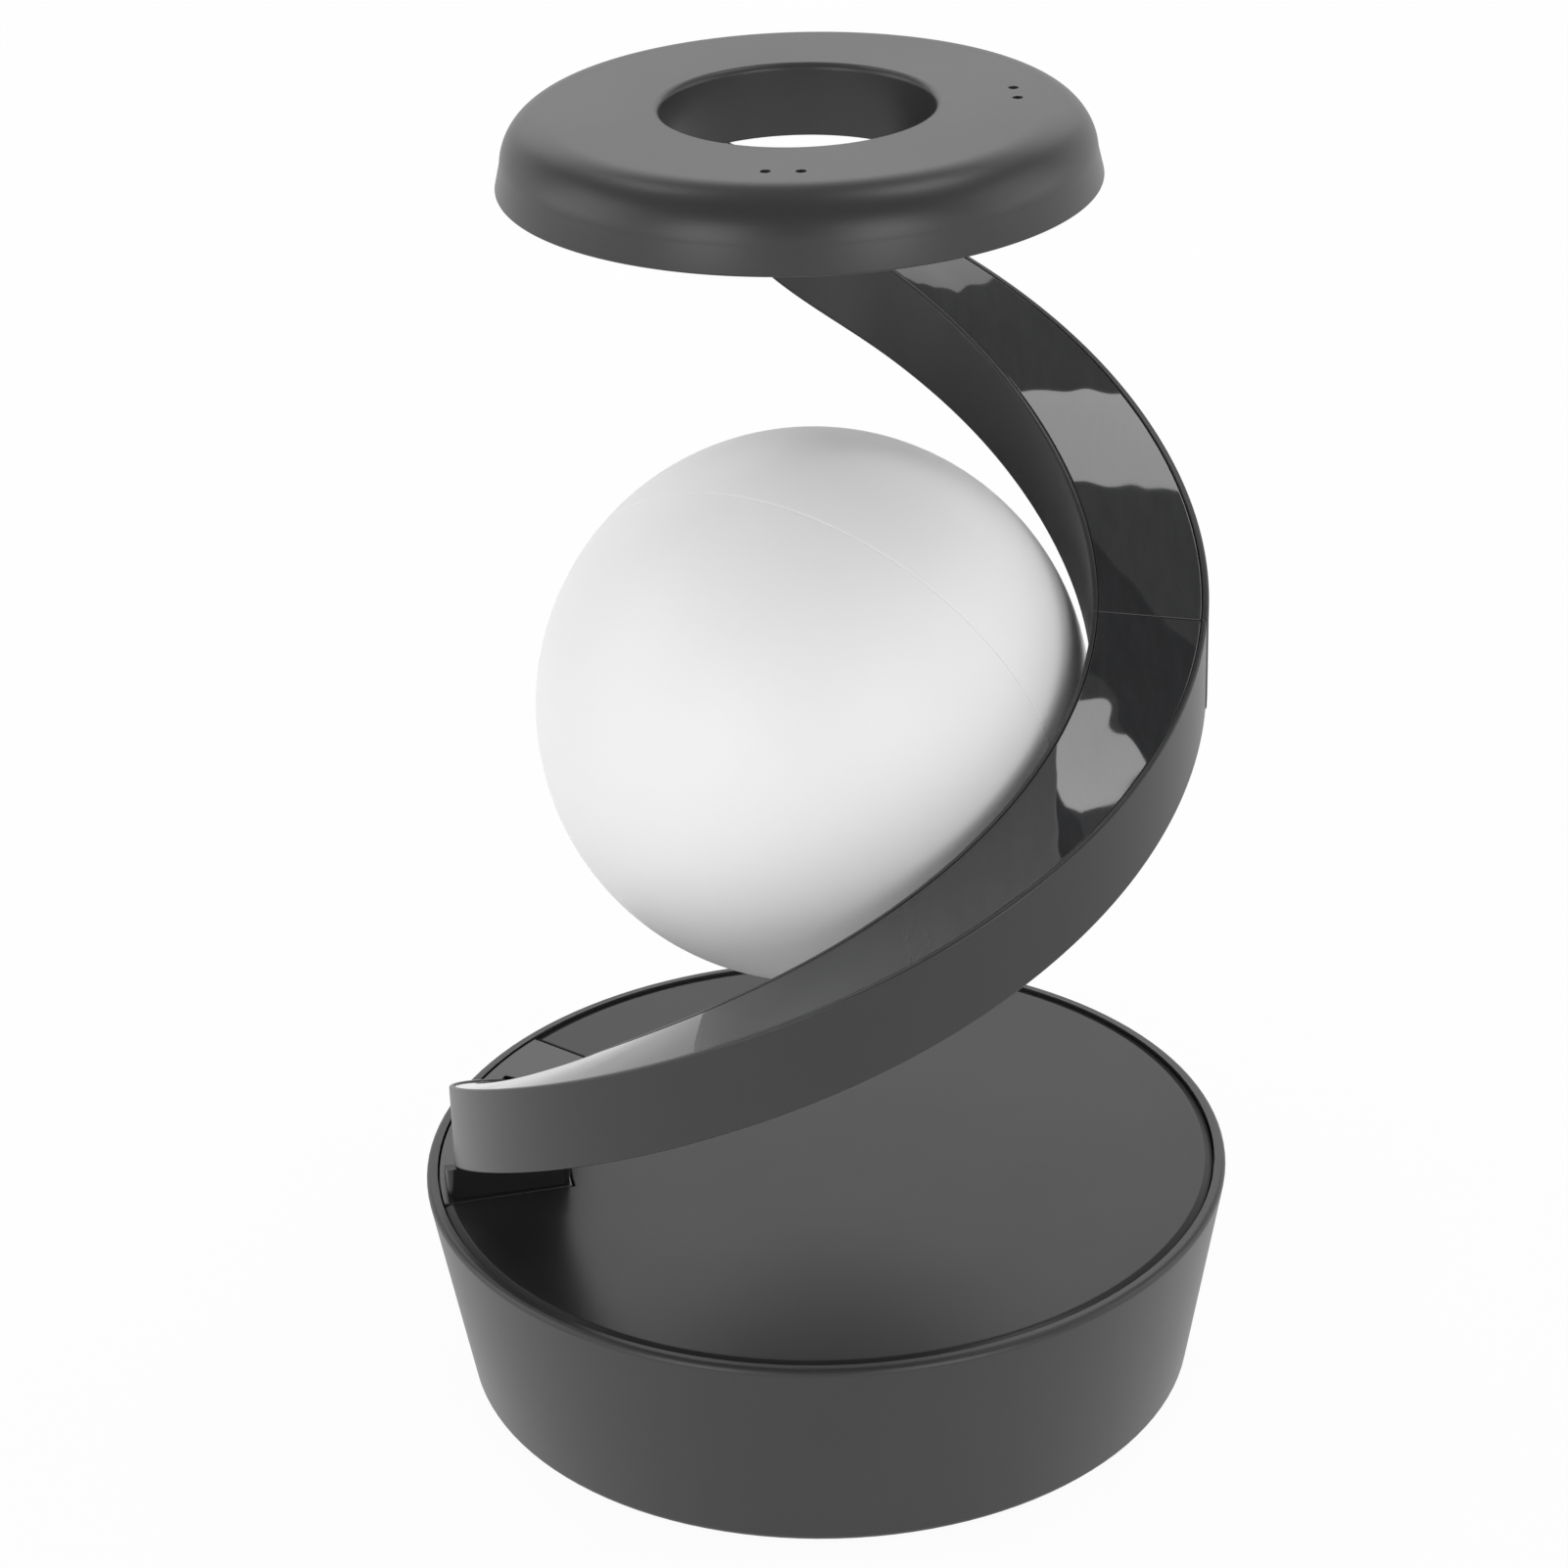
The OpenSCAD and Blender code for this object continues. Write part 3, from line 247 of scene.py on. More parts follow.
class Shape:
    """Grids of points that are joined into one closed mesh."""

    def __init__(self):
        self.points = []
        self.faces = []
        self.flat = []
        self.count = 0

    def grid(self, points, wrap_rows=False, wrap_columns=False, cap_rows=False):
        """Adds a grid [rows, columns, 3] of points, with a quad between neighbours.
        cap_rows closes the first and the last row with one flat face each."""
        rows, columns = points.shape[:2]
        index = np.arange(rows * columns).reshape(rows, columns) + self.count
        first, last = index[0].tolist(), index[-1].tolist()
        if wrap_rows:
            index = np.concatenate([index, index[:1]])
        if wrap_columns:
            index = np.concatenate([index, index[:, :1]], 1)
        quads = quads_between(index)
        self.faces += quads.tolist()
        self.flat += [False] * len(quads)
        if cap_rows:
            self.faces += [first[::-1], last]
            self.flat += [True, True]
        self.points.append(points.reshape(-1, 3))
        self.count += rows * columns
        return self

    def piece(self, name, body, slot, node, sharp=40):
        """Makes the mesh with its slot's finish, merges its doubled points, turns its
        faces outwards and sets it riding on a body, in place of a node."""
        mesh = bpy.data.meshes.new(name)
        mesh.from_pydata(np.concatenate(self.points).tolist(), [], self.faces)
        mesh.polygons.foreach_set("use_smooth", [not f for f in self.flat])
        work = bmesh.new()
        work.from_mesh(mesh)
        bmesh.ops.remove_doubles(work, verts=work.verts, dist=MERGE_DISTANCE)
        bmesh.ops.dissolve_degenerate(work, edges=work.edges, dist=LEAST_EDGE)
        bmesh.ops.recalc_face_normals(work, faces=work.faces)
        work.to_mesh(mesh)
        work.free()
        mesh.set_sharp_from_angle(angle=math.radians(sharp))
        mesh.materials.append(finish_for(bpy.context.scene, slot))
        piece = bpy.data.objects.new(name, mesh)
        bpy.context.scene.collection.objects.link(piece)
        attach(piece, body)
        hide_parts(node)


# The arm's path, the same as in the solid model

# The outer radius at steps of 45 degrees, as shares of the arm's widest radius and,
# where the arm nears the ring, of the ring's radius
ARM_SHARES = np.array([0.935, 0.933, 0.945, 0.979, 1, 0.97, 0.878, 0.779])
END_SHARES = np.array([0.909, 0.948, 1.013])
REACH_FIRST = 110
REACH_STEP = 45
# How much the climb departs from an even one, as shares of its height
BOW_SHARE = 0.025
LAG_SHARE = 0.0035
WAVE_SHARE = 0.0045
COVER_INSET = 1 * MM
STATION_STEP = math.radians(0.6)
EASE_STEPS = 5
CHANNEL_DRAW = 0.55
STRIP_GAP = 0.1 * MM
STRIP_SOFT = 0.25 * MM
STRIP_EDGE = 0.16 * MM
# Angles of the middles of the two pairs of pin holes, in degrees
PIN_ANGLES = np.array([266.5, 4.5])


def arm_reach(arm, ring, turn):
    """The arm's outer radius: a cubic through the radii that stand 45 degrees apart,
    whose slope at each is half the step between its neighbours."""
    reaches = np.concatenate([arm.widest * ARM_SHARES, ring.radius * END_SHARES])
    u = (np.degrees(turn) - REACH_FIRST) / REACH_STEP
    i = np.maximum(1, np.floor(u)).astype(int)
    t = u - i
    p0, p1, p2, p3 = (reaches[i + k] for k in (-1, 0, 1, 2))
    return 0.5 * (2 * p1 + (p2 - p0) * t + (2 * p0 - 5 * p1 + 4 * p2 - p3) * t ** 2
                  + (3 * p1 - p0 - 3 * p2 + p3) * t ** 3)


def arm_climb(arm, base, ring, turn):
    """The height of the arm's top: an even climb from the plate to the ring, with
    three small sine waves of one, two and three half turns added."""
    low = base.plate_top
    high = ring_cover_low(ring)
    s = (turn - arm.start) / (arm.meets_ring - arm.start)
    bow = (BOW_SHARE * np.sin(np.pi * s) - LAG_SHARE * np.sin(2 * np.pi * s)
           + WAVE_SHARE * np.sin(3 * np.pi * s))
    return low + (high - low) * (s + bow)


def ring_cover_low(ring):
    return ring.top - ring.height + COVER_INSET


def sweep_arm(scene, sections, turns, cut_level):
    """Carries sections along the arm: each point (x, y) lies x in from the outer
    radius and y down from the top, in the upright plane through the axis at the
    station's angle. cut_level cuts the ends level at the ledge and at the ring."""
    arm, base, ring = scene.lamp_arm, scene.lamp_base, scene.lamp_ring
    turn = turns[:, None]
    radius = arm_reach(arm, ring, turn) - sections[..., 0]
    height = arm_climb(arm, base, ring, turn) - sections[..., 1]
    if cut_level:
        height = np.clip(height, base.plate_top - base.plate_thickness,
                         ring_cover_low(ring))
    return polar(radius, turn, height)


def eased_stations(start, end, edge_turn):
    """Angles from start to end with close ones inside edge_turn of each end, and for
    each how far its section is drawn in, as a share, to round the end's edge."""
    quarter = np.linspace(0, np.pi / 2, EASE_STEPS + 1)
    near = edge_turn * (1 - np.cos(quarter))
    middle = np.linspace(start + edge_turn * 1.5, end - edge_turn * 1.5,
                         int((end - start) / STATION_STEP))
    turns = np.concatenate([start + near, middle, end - near[::-1]])
    inset = 1 - np.sin(quarter)
    return turns, np.concatenate([inset, 0 * middle, inset[::-1]])


def arm_section(arm, inset, out):
    """The moulding's outline, drawn in by inset, its outer side moved by out: a box
    with rounded corners and a shallow rebate in its top for the strip."""
    w, h, e = arm.width, arm.height, arm.strip_edge
    deep = arm.strip_thickness + arm.strip_depth
    small = 0.4 * arm.edge
    return fillet([
        (inset - out, inset, arm.edge), (e - inset, inset, small),
        (e - inset, deep + inset, 0), (w - e + inset, deep + inset, 0),
        (w - e + inset, inset, small), (w - inset, inset, arm.edge),
        (w - inset, h - inset, 1.5 * arm.edge),
        (inset - out, h - inset, 1.5 * arm.edge)])


def strip_section(arm, inset):
    """The strip's outline: a flat bar that fills the rebate but for a thin gap."""
    left = arm.strip_edge + STRIP_GAP + inset
    right = arm.width - left
    top = arm.strip_depth + inset
    low = arm.strip_depth + arm.strip_thickness - inset
    return fillet([(left, top, STRIP_SOFT), (right, top, STRIP_SOFT),
                   (right, low, 0), (left, low, 0)])


# Node groups that more than one material uses

def set_inputs(node, **values):
    """Sets inputs by name, with _ in place of a space."""
    for name, value in values.items():
        node.inputs[name.replace("_", " ")].default_value = value


def cover(tree, shader, base_colour, roughness, **values):
    """Plugs in a shader's colour and roughness and sets its other inputs."""
    plug(tree, base_colour, shader.inputs["Base Color"])
    plug(tree, roughness, shader.inputs["Roughness"])
    set_inputs(shader, **values)


def add(tree, kind, **settings):
    """Adds a node, sets its properties and its inputs by name, and returns it."""
    node = tree.nodes.new(kind)
    for name, value in settings.items():
        if hasattr(node, name):
            setattr(node, name, value)
        else:
            set_inputs(node, **{name: value})
    return node


def link(tree, source, output, target, socket):
    tree.links.new(source.outputs[output], target.inputs[socket])


def plug(tree, value, socket):
    """Links another node's socket, or sets a number or a colour. None does nothing."""
    if isinstance(value, bpy.types.NodeSocket):
        tree.links.new(value, socket)
    elif value is not None:
        socket.default_value = value


def feed(tree, kind, *values, **settings):
    """Adds a node, plugs the values into its inputs in order, and returns its first
    output."""
    node = add(tree, kind, **settings)
    for socket, value in zip(node.inputs, values):
        plug(tree, value, socket)
    return node.outputs[0]


def maths(tree, operation, *values, **settings):
    return feed(tree, "ShaderNodeMath", *values, operation=operation, **settings)


def map_range(tree, value, low, high, start=0.0, end=1.0):
    """Maps a value from start to end on to low to high."""
    return feed(tree, "ShaderNodeMapRange", value, start, end, low, high)


def blend_colours(tree, share, first, second):
    """A mix of two colours, each a colour or a socket."""
    node = add(tree, "ShaderNodeMix", data_type="RGBA")
    for index, value in ((0, share), (6, first), (7, second)):
        plug(tree, value, node.inputs[index])
    return node.outputs[2]


def shared_group(name, inputs, outputs, build):
    """The named node group, with float inputs {name: default} and float outputs. It
    is made once: build(group, source) links its nodes and gives the outputs."""
    group = bpy.data.node_groups.get(name)
    if group is not None:
        return group
    group = bpy.data.node_groups.new(name, "ShaderNodeTree")
    group.interface.new_socket("Vector", in_out="INPUT", socket_type="NodeSocketVector")
    for title, default in inputs.items():
        socket = group.interface.new_socket(title, in_out="INPUT",
                                            socket_type="NodeSocketFloat")
        socket.default_value = default
    for title in outputs:
        group.interface.new_socket(title, in_out="OUTPUT",
                                   socket_type="NodeSocketFloat")
    source, result = add(group, "NodeGroupInput"), add(group, "NodeGroupOutput")
    for title, socket in zip(outputs, build(group, source.outputs)):
        group.links.new(socket, result.inputs[title])
    return group


def noise(group, place, scale, **settings):
    """A noise texture's Fac at a place and scale, each given by a socket."""
    return feed(group, "ShaderNodeTexNoise", place, None, scale, **settings)


def spark_grain_group():
    """The fine grain that a mould's eroded surface leaves, with a slow drift of shade
    over the piece. Shade and Rough are 0 to 1; Height is for a Bump node."""
    def build(group, source):
        grain = noise(group, source["Vector"], source["Grain Scale"], Detail=2.0,
                      Roughness=0.6)
        drift = noise(group, source["Vector"], source["Drift Scale"], Detail=3.0,
                      Roughness=0.5)
        slow = maths(group, "MULTIPLY", drift, 0.65)
        return maths(group, "MULTIPLY_ADD", grain, 0.35, slow), drift, grain
    return shared_group("spark_grain", {"Grain Scale": 2600.0, "Drift Scale": 22.0},
                        ["Shade", "Rough", "Height"], build)


def slow_wave_group():
    """The slight waves of a polished moulding that has shrunk in its mould, and fine
    hairlines of wiping. Height is for a Bump node, Wipe is 0 to 1."""
    def build(group, source):
        wave = noise(group, source["Vector"], source["Wave Scale"], Detail=1.0,
                     Roughness=0.4, Distortion=0.3)
        stretch = feed(group, "ShaderNodeMapping", source["Vector"],
                       Scale=(1.0, 0.12, 0.5))
        return wave, noise(group, stretch, source["Wipe Scale"], Detail=3.0,
                           Roughness=0.7)
    return shared_group("slow_wave", {"Wave Scale": 38.0, "Wipe Scale": 420.0},
                        ["Height", "Wipe"], build)


def dust_group():
    """Faint dust that settles on faces that look up: the normal's upward part, raised,
    times a cloudy noise."""
    def build(group, source):
        facing = add(group, "ShaderNodeNewGeometry")
        split = add(group, "ShaderNodeSeparateXYZ")
        link(group, facing, "Normal", split, "Vector")
        up = maths(group, "MAXIMUM", split.outputs["Z"], 0.0)
        raised = maths(group, "POWER", up, 3.0, use_clamp=True)
        cloud = noise(group, source["Vector"], source["Cloud Scale"], Detail=6.0,
                      Roughness=0.65)
        both = maths(group, "MULTIPLY", raised, cloud)
        return [maths(group, "MULTIPLY", both, source["Amount"])]
    return shared_group("settled_dust", {"Cloud Scale": 55.0, "Amount": 0.05},
                        ["Dust"], build)


# Materials

DUST_COLOUR = (0.32, 0.31, 0.30, 1)
# Painted shade: the near black put inside the pin holes, in place of the shade down in
# them
PAINTED_HOLE_SHADE = (0.002, 0.002, 0.002, 1)


def new_material(name):
    material = bpy.data.materials.new(name)
    material.use_nodes = True
    tree = material.node_tree
    shader = tree.nodes["Principled BSDF"]
    place = add(tree, "ShaderNodeTexCoord")
    return material, tree, shader, place


def place_group(tree, group, place, **values):
    node = add(tree, "ShaderNodeGroup", node_tree=group, **values)
    link(tree, place, "Object", node, "Vector")
    return node


def colour_ramp(tree, source, output, base, dark, light):
    """The base colour, from its darker to its lighter share, driven by another
    node's output. The shares multiply the colour, up to white."""
    ramp = add(tree, "ShaderNodeValToRGB")
    for element, position, share in zip(ramp.color_ramp.elements, (0.3, 0.7),
                                        (dark, light)):
        element.position = position
        element.color = (*(min(1.0, c * share) for c in base), 1)
    link(tree, source, output, ramp, "Fac")
    return ramp.outputs["Color"]


def bump(tree, source, output, shader, strength, depth):
    """A Bump node on the shader's normal; depth is in metres."""
    node = add(tree, "ShaderNodeBump", Strength=strength, Distance=depth)
    link(tree, source, output, node, "Height")
    link(tree, node, "Normal", shader, "Normal")


def matt_moulding(name, base, roughness, grain=2600.0, depth=0.00003, dust=0.03,
                  gloss=0.5):
    """A spark-eroded plastic moulding: fine grain in colour, gloss and relief, and a
    trace of dust on top."""
    material, tree, shader, place = new_material(name)
    grain_node = place_group(tree, spark_grain_group(), place, Grain_Scale=grain)
    clean = colour_ramp(tree, grain_node, "Shade", base, 0.88, 1.12)
    dust_node = place_group(tree, dust_group(), place, Amount=dust)
    dusty = blend_colours(tree, dust_node.outputs["Dust"], clean, DUST_COLOUR)
    rough = map_range(tree, grain_node.outputs["Rough"], roughness - 0.04,
                      roughness + 0.04)
    cover(tree, shader, dusty, rough, IOR=1.5, Specular_IOR_Level=gloss)
    bump(tree, grain_node, "Height", shader, 0.06, depth)
    return material


def pin_half_turn(ring):
    """Half the angle between the two pin holes of a pair."""
    return math.asin(ring.pin_spacing / 2 / ring.pin_circle)


def pin_places(ring):
    """The middles of the four pin holes, seen from above."""
    turns = [math.radians(p) + side * pin_half_turn(ring)
             for p in PIN_ANGLES for side in (-1, 1)]
    return [(ring.pin_circle * math.cos(a), ring.pin_circle * math.sin(a))
            for a in turns]


def pierced_moulding(name, base, roughness, ring):
    """The ring's moulding, with painted shade in its pin holes: the distance in plan to
    the nearest hole's middle fades the colour to near black and takes the gloss away,
    in place of the shade down in the holes."""
    material = matt_moulding(name, base, roughness)
    tree = material.node_tree
    shader = tree.nodes["Principled BSDF"]
    place = add(tree, "ShaderNodeTexCoord")
    plan = feed(tree, "ShaderNodeVectorMath", place.outputs["Object"], (1, 1, 0),
                operation="MULTIPLY")
    nearest = 1.0
    for x, y in pin_places(ring):
        away = feed(tree, "ShaderNodeVectorMath", plan, (x, y, 0),
                    operation="DISTANCE").node
        nearest = maths(tree, "MINIMUM", nearest, away.outputs["Value"])
    # Painted shade in the pin holes: near black and full roughness within a hole's
    # radius, fading out just beyond it
    clear_of_hole_shade = map_range(tree, nearest, 0.0, 1.0, ring.pin_radius,
                        ring.pin_radius * 1.12)
    shade, rough = (shader.inputs[title].links[0].from_socket
                    for title in ("Base Color", "Roughness"))
    cover(tree, shader, blend_colours(tree, clear_of_hole_shade, PAINTED_HOLE_SHADE, shade),
          feed(tree, "ShaderNodeMix", clear_of_hole_shade, None, 1.0, rough, data_type="FLOAT"))
    return material


def wiped_finish(tree, wave, shader, base, dark, light, smooth, rough, **values):
    """Colour and roughness that follow the fine hairlines of wiping."""
    cover(tree, shader, colour_ramp(tree, wave, "Wipe", base, dark, light),
          map_range(tree, wave.outputs["Wipe"], smooth, rough), **values)


def polished_strip(name, base, roughness):
    """A polished plastic strip: near-mirror gloss with slow moulding waves."""
    material, tree, shader, place = new_material(name)
    wave = place_group(tree, slow_wave_group(), place)
    wiped_finish(tree, wave, shader, base, 0.9, 1.15, roughness * 0.7,
                 roughness * 1.5, IOR=1.52)
    bump(tree, wave, "Height", shader, 1.0, 0.0007)
    return material


def frosted_shell(name, base):
    """A frosted white shell: a soft matt skin with a slow cloudiness."""
    material, tree, shader, place = new_material(name)
    grain_node = place_group(tree, spark_grain_group(), place, Grain_Scale=3200.0,
                             Drift_Scale=14.0)
    cover(tree, shader, colour_ramp(tree, grain_node, "Shade", base, 0.985, 1.0),
          map_range(tree, grain_node.outputs["Rough"], 0.36, 0.46), IOR=1.46,
          Specular_IOR_Level=0.25)
    bump(tree, grain_node, "Height", shader, 0.12, 0.00002)
    return material


def turned_metal(name, base, roughness, lines=900.0):
    """Turned or rolled metal, with fine lines round its grain."""
    material, tree, shader, place = new_material(name)
    wave = place_group(tree, slow_wave_group(), place, Wipe_Scale=lines)
    wiped_finish(tree, wave, shader, base, 0.8, 1.1, roughness * 0.8,
                 roughness * 1.3, Metallic=1.0)
    bump(tree, wave, "Wipe", shader, 0.2, 0.00001)
    return material


# Finishes of the hidden pieces: the slot, its colour and its roughness
HIDDEN_MOULDINGS = {
    "white_plastic": ((0.78, 0.78, 0.77), 0.4),
    "board_laminate": ((0.02, 0.12, 0.05), 0.35),
    "light_laminate": ((0.80, 0.80, 0.78), 0.4),
    "chip_resin": ((0.025, 0.025, 0.03), 0.5),
    "led_resin": ((0.85, 0.68, 0.25), 0.3),
    "wire_sleeve": ((0.55, 0.55, 0.56), 0.5),
}
METALS = {
    "screw_steel": ((0.52, 0.52, 0.53), 0.32),
    "spindle_steel": ((0.62, 0.62, 0.63), 0.22),
    "ballast_steel": ((0.36, 0.36, 0.37), 0.45),
    "socket_steel": ((0.56, 0.56, 0.57), 0.28),
    "nut_brass": ((0.72, 0.56, 0.28), 0.3),
}


def finish_for(scene, slot):
    """The finish of a record slot, made once, under a name of its own."""
    name = slot + "_finish"
    if name in bpy.data.materials:
        return bpy.data.materials[name]
    if slot in HIDDEN_MOULDINGS:
        return matt_moulding(name, *HIDDEN_MOULDINGS[slot])
    if slot in METALS:
        return turned_metal(name, *METALS[slot])
    f = scene.lamp_finishes
    rough = f.housing_roughness
    makers = {
        "bowl_plastic": lambda: matt_moulding(name, f.housing, rough),
        "arm_plastic": lambda: matt_moulding(name, f.housing, rough),
        "ring_plastic": lambda: pierced_moulding(name, f.housing, rough,
                                                 scene.lamp_ring),
        "plate_plastic": lambda: matt_moulding(name, f.plate, rough - 0.04, gloss=0.32),
        "foot_plastic": lambda: matt_moulding(name, f.foot, rough - 0.15, dust=0.0),
        "floor_plastic": lambda: matt_moulding(name, f.foot, 0.55, dust=0.0),
        "strip_plastic": lambda: polished_strip(name, f.strip, f.strip_roughness),
        "ball_plastic": lambda: frosted_shell(name, f.ball),
        "foot_rubber": lambda: matt_moulding(name, f.rubber, 0.75, 1400.0, 0.00006),
    }
    return makers[slot]()


# Pieces

def arm_piece(scene, name, node, slot, start, end, draw, section, cut_level):
    """A piece that follows the arm from start to end and is drawn in at its ends'
    edges. section(inset) gives its outline."""
    turns, share = eased_stations(start, end, draw / scene.lamp_arm.widest)
    sections = np.array([section(s * draw) for s in share])
    Shape().grid(sweep_arm(scene, sections, turns, cut_level), wrap_columns=True,
                 cap_rows=True).piece(name, "stand", slot, node, sharp=50)


class LAMP_OT_top_plate(Operator):
    """Build the top plate, notched round the arm's foot, with its fine bevel"""
    bl_idname = "lamp.top_plate"
    bl_label = "Top Plate"

    def execute(self, context):
        scene = context.scene
        base, foot = scene.lamp_base, scene.lamp_foot
        low = base.plate_top - base.plate_thickness
        edge = base.edge
        outer = base.rim_radius - base.lip_width - base.plate_gap
        inner = foot.inner_radius - base.plate_gap
        gap_turn = base.plate_gap * 2 / (outer + inner)

        def row(out, notch, height):
            """One loop of the plate's outline, drawn in by out on the round edge and
            by notch round the foot."""
            start = foot.start - gap_turn
            end = foot.end + gap_turn
            long_arc = np.linspace(end + notch / outer, start - notch / outer
                                   + 2 * np.pi, 330)
            side = np.linspace(0, 1, 12)
            radius_in = inner - notch
            radius_side = outer - out + (radius_in - outer + out) * side
            short_arc = np.linspace(start - notch / inner, end + notch / inner, 60)
            turn = np.concatenate([
                long_arc[:-1], start - notch / radius_side[:-1], short_arc[:-1],
                end + notch / radius_side[::-1][:-1]])
            radius = np.concatenate([
                0 * long_arc[:-1] + outer - out, radius_side[:-1],
                0 * short_arc[:-1] + radius_in, radius_side[::-1][:-1]])
            return polar(radius, turn, height)

        # Up the side, round the foot of the bevel, up its slope and over its crest.
        bevel_w, top = base.bevel_width, base.plate_top
        slope = top - base.bevel_height
        rows = [row(edge, edge, low), row(0, 0, low + edge),
                row(0, 0, slope - 0.6 * edge),
                row(0.25 * edge, 0, slope - 0.1 * edge),
                row(0.6 * edge, 0, slope + 0.2 * edge),
                row(bevel_w - 0.8 * edge, 0, top - edge)]
        for k in np.linspace(0, 1, 5)[1:]:
            come_in, below = round_in(edge, k)
            rows.append(row(bevel_w - 0.8 * edge * (1 - k) + edge * k, come_in,
                            top - below))
        rows.append(row(bevel_w + 2 * edge, 2 * edge, top))
        Shape().grid(np.array(rows), wrap_columns=True, cap_rows=True).piece(
            "top_plate_moulding", "stand", "plate_plastic", "top_plate")
        return {"FINISHED"}


class LAMP_OT_arm_foot(Operator):
    """Build the arm's foot: a flange with a slot, and the block under the arm"""
    bl_idname = "lamp.arm_foot"
    bl_label = "Arm Foot"

    def execute(self, context):
        scene = context.scene
        base, foot = scene.lamp_base, scene.lamp_foot
        arm, ring = scene.lamp_arm, scene.lamp_ring
        low = base.plate_top - base.plate_thickness
        top = base.plate_top
        edge = base.edge
        outer = base.rim_radius - base.lip_width - base.plate_gap
        inner = foot.inner_radius
        fit = 0.12 * MM
        slot_start = arm.start - math.radians(1)

        def loop(r_out, r_in, start, end):
            """Four sides round a part of a ring, with as many points on each loop.
            r_out and r_in are functions of the angle."""
            turn = np.linspace(start, end, 70)
            side = np.linspace(0, 1, 16)[1:-1]
            out, back = r_out(turn), r_in(turn)
            radius = np.concatenate([out, out[-1] + (back[-1] - out[-1]) * side,
                                     back[::-1], back[0] + (out[0] - back[0]) * side])
            turns = np.concatenate([turn, end + 0 * side, turn[::-1],
                                    start + 0 * side])
            return radius, turns

        def outline(e):
            return loop(lambda a: 0 * a + outer - e, lambda a: 0 * a + inner + e,
                        foot.start + e / inner, foot.end - e / inner)

        def slot(e):
            return loop(lambda a: arm_reach(arm, ring, a) + fit + e,
                        lambda a: arm_reach(arm, ring, a) - arm.width - fit - e,
                        slot_start - e / outer, foot.slot_end + e / outer)

        rows = [polar(*outline(edge), low), polar(*outline(0), low + edge)]
        for k in np.linspace(0, 1, 5):
            come_in, below = round_in(edge, k)
            rows.append(polar(*outline(come_in), top - below))
        thin = 0.15 * edge
        rows += [polar(*outline(1.6 * edge), top), polar(*slot(2 * thin), top),
                 polar(*slot(thin), top), polar(*slot(0), top - thin),
                 polar(*slot(0), low)]
        shape = Shape().grid(np.array(rows), wrap_rows=True, wrap_columns=True)

        # The block: upright sections from the slot to its rounded front corners.
        step, rounding = foot.block_step, foot.block_round
        end = foot.end - step / outer
        turn = np.linspace(foot.block_start, end - rounding / outer, 40)
        t = np.linspace(0, np.pi / 2, 12)[1:]
        turns = np.concatenate([turn, end - rounding / outer * (1 - np.sin(t))])
        draw = np.concatenate([0 * turn, rounding * (1 - np.cos(t))]) + step
        under = arm_climb(arm, base, ring, turns) - arm.height - foot.block_gap
        floor = low + base.plate_thickness / 3
        r_in, r_out = inner + draw, foot.block_radius - draw
        across = np.linspace(0, 1, 14)
        radius = np.concatenate([
            r_in[:, None] + (r_out - r_in)[:, None] * across,
            r_out[:, None] + (r_in - r_out)[:, None] * across], 1)
        height = np.concatenate([under[:, None] + 0 * across,
                                 floor + 0 * under[:, None] + 0 * across], 1)
        shape.grid(polar(radius, turns[:, None], height), wrap_columns=True,
                   cap_rows=True)
        shape.piece("arm_foot_moulding", "stand", "foot_plastic", "arm_foot", sharp=30)
        return {"FINISHED"}


class LAMP_OT_arm_halves(Operator):
    """Build the two channel mouldings of the helical arm"""
    bl_idname = "lamp.arm_halves"
    bl_label = "Arm Halves"

    def execute(self, context):
        scene = context.scene
        arm = scene.lamp_arm
        halves = [
            ("lower_arm_moulding", "lower_arm", arm.start + math.radians(0.5),
             arm.seam, 0.0),
            ("upper_arm_moulding", "upper_arm", arm.seam + math.radians(0.05),
             arm.end, arm.step)]
        for name, node, start, end, out in halves:
            arm_piece(scene, name, node, "arm_plastic", start, end,
                      arm.edge * CHANNEL_DRAW,
                      lambda inset: arm_section(arm, inset, out), True)
        return {"FINISHED"}


class LAMP_OT_arm_strips(Operator):
    """Build the two glossy strips let into the top of the arm"""
    bl_idname = "lamp.arm_strips"
    bl_label = "Arm Strips"

    def execute(self, context):
        scene = context.scene
        arm = scene.lamp_arm
        gap = math.radians(0.1)
        strips = [
            ("lower_gloss_strip", "lower_strip", arm.start + math.radians(3.2),
             arm.seam - gap),
            ("upper_gloss_strip", "upper_strip", arm.seam + gap,
             arm.meets_ring - math.radians(1))]
        for name, node, start, end in strips:
            arm_piece(scene, name, node, "strip_plastic", start, end, STRIP_EDGE,
                      lambda inset: strip_section(arm, inset), False)
        return {"FINISHED"}


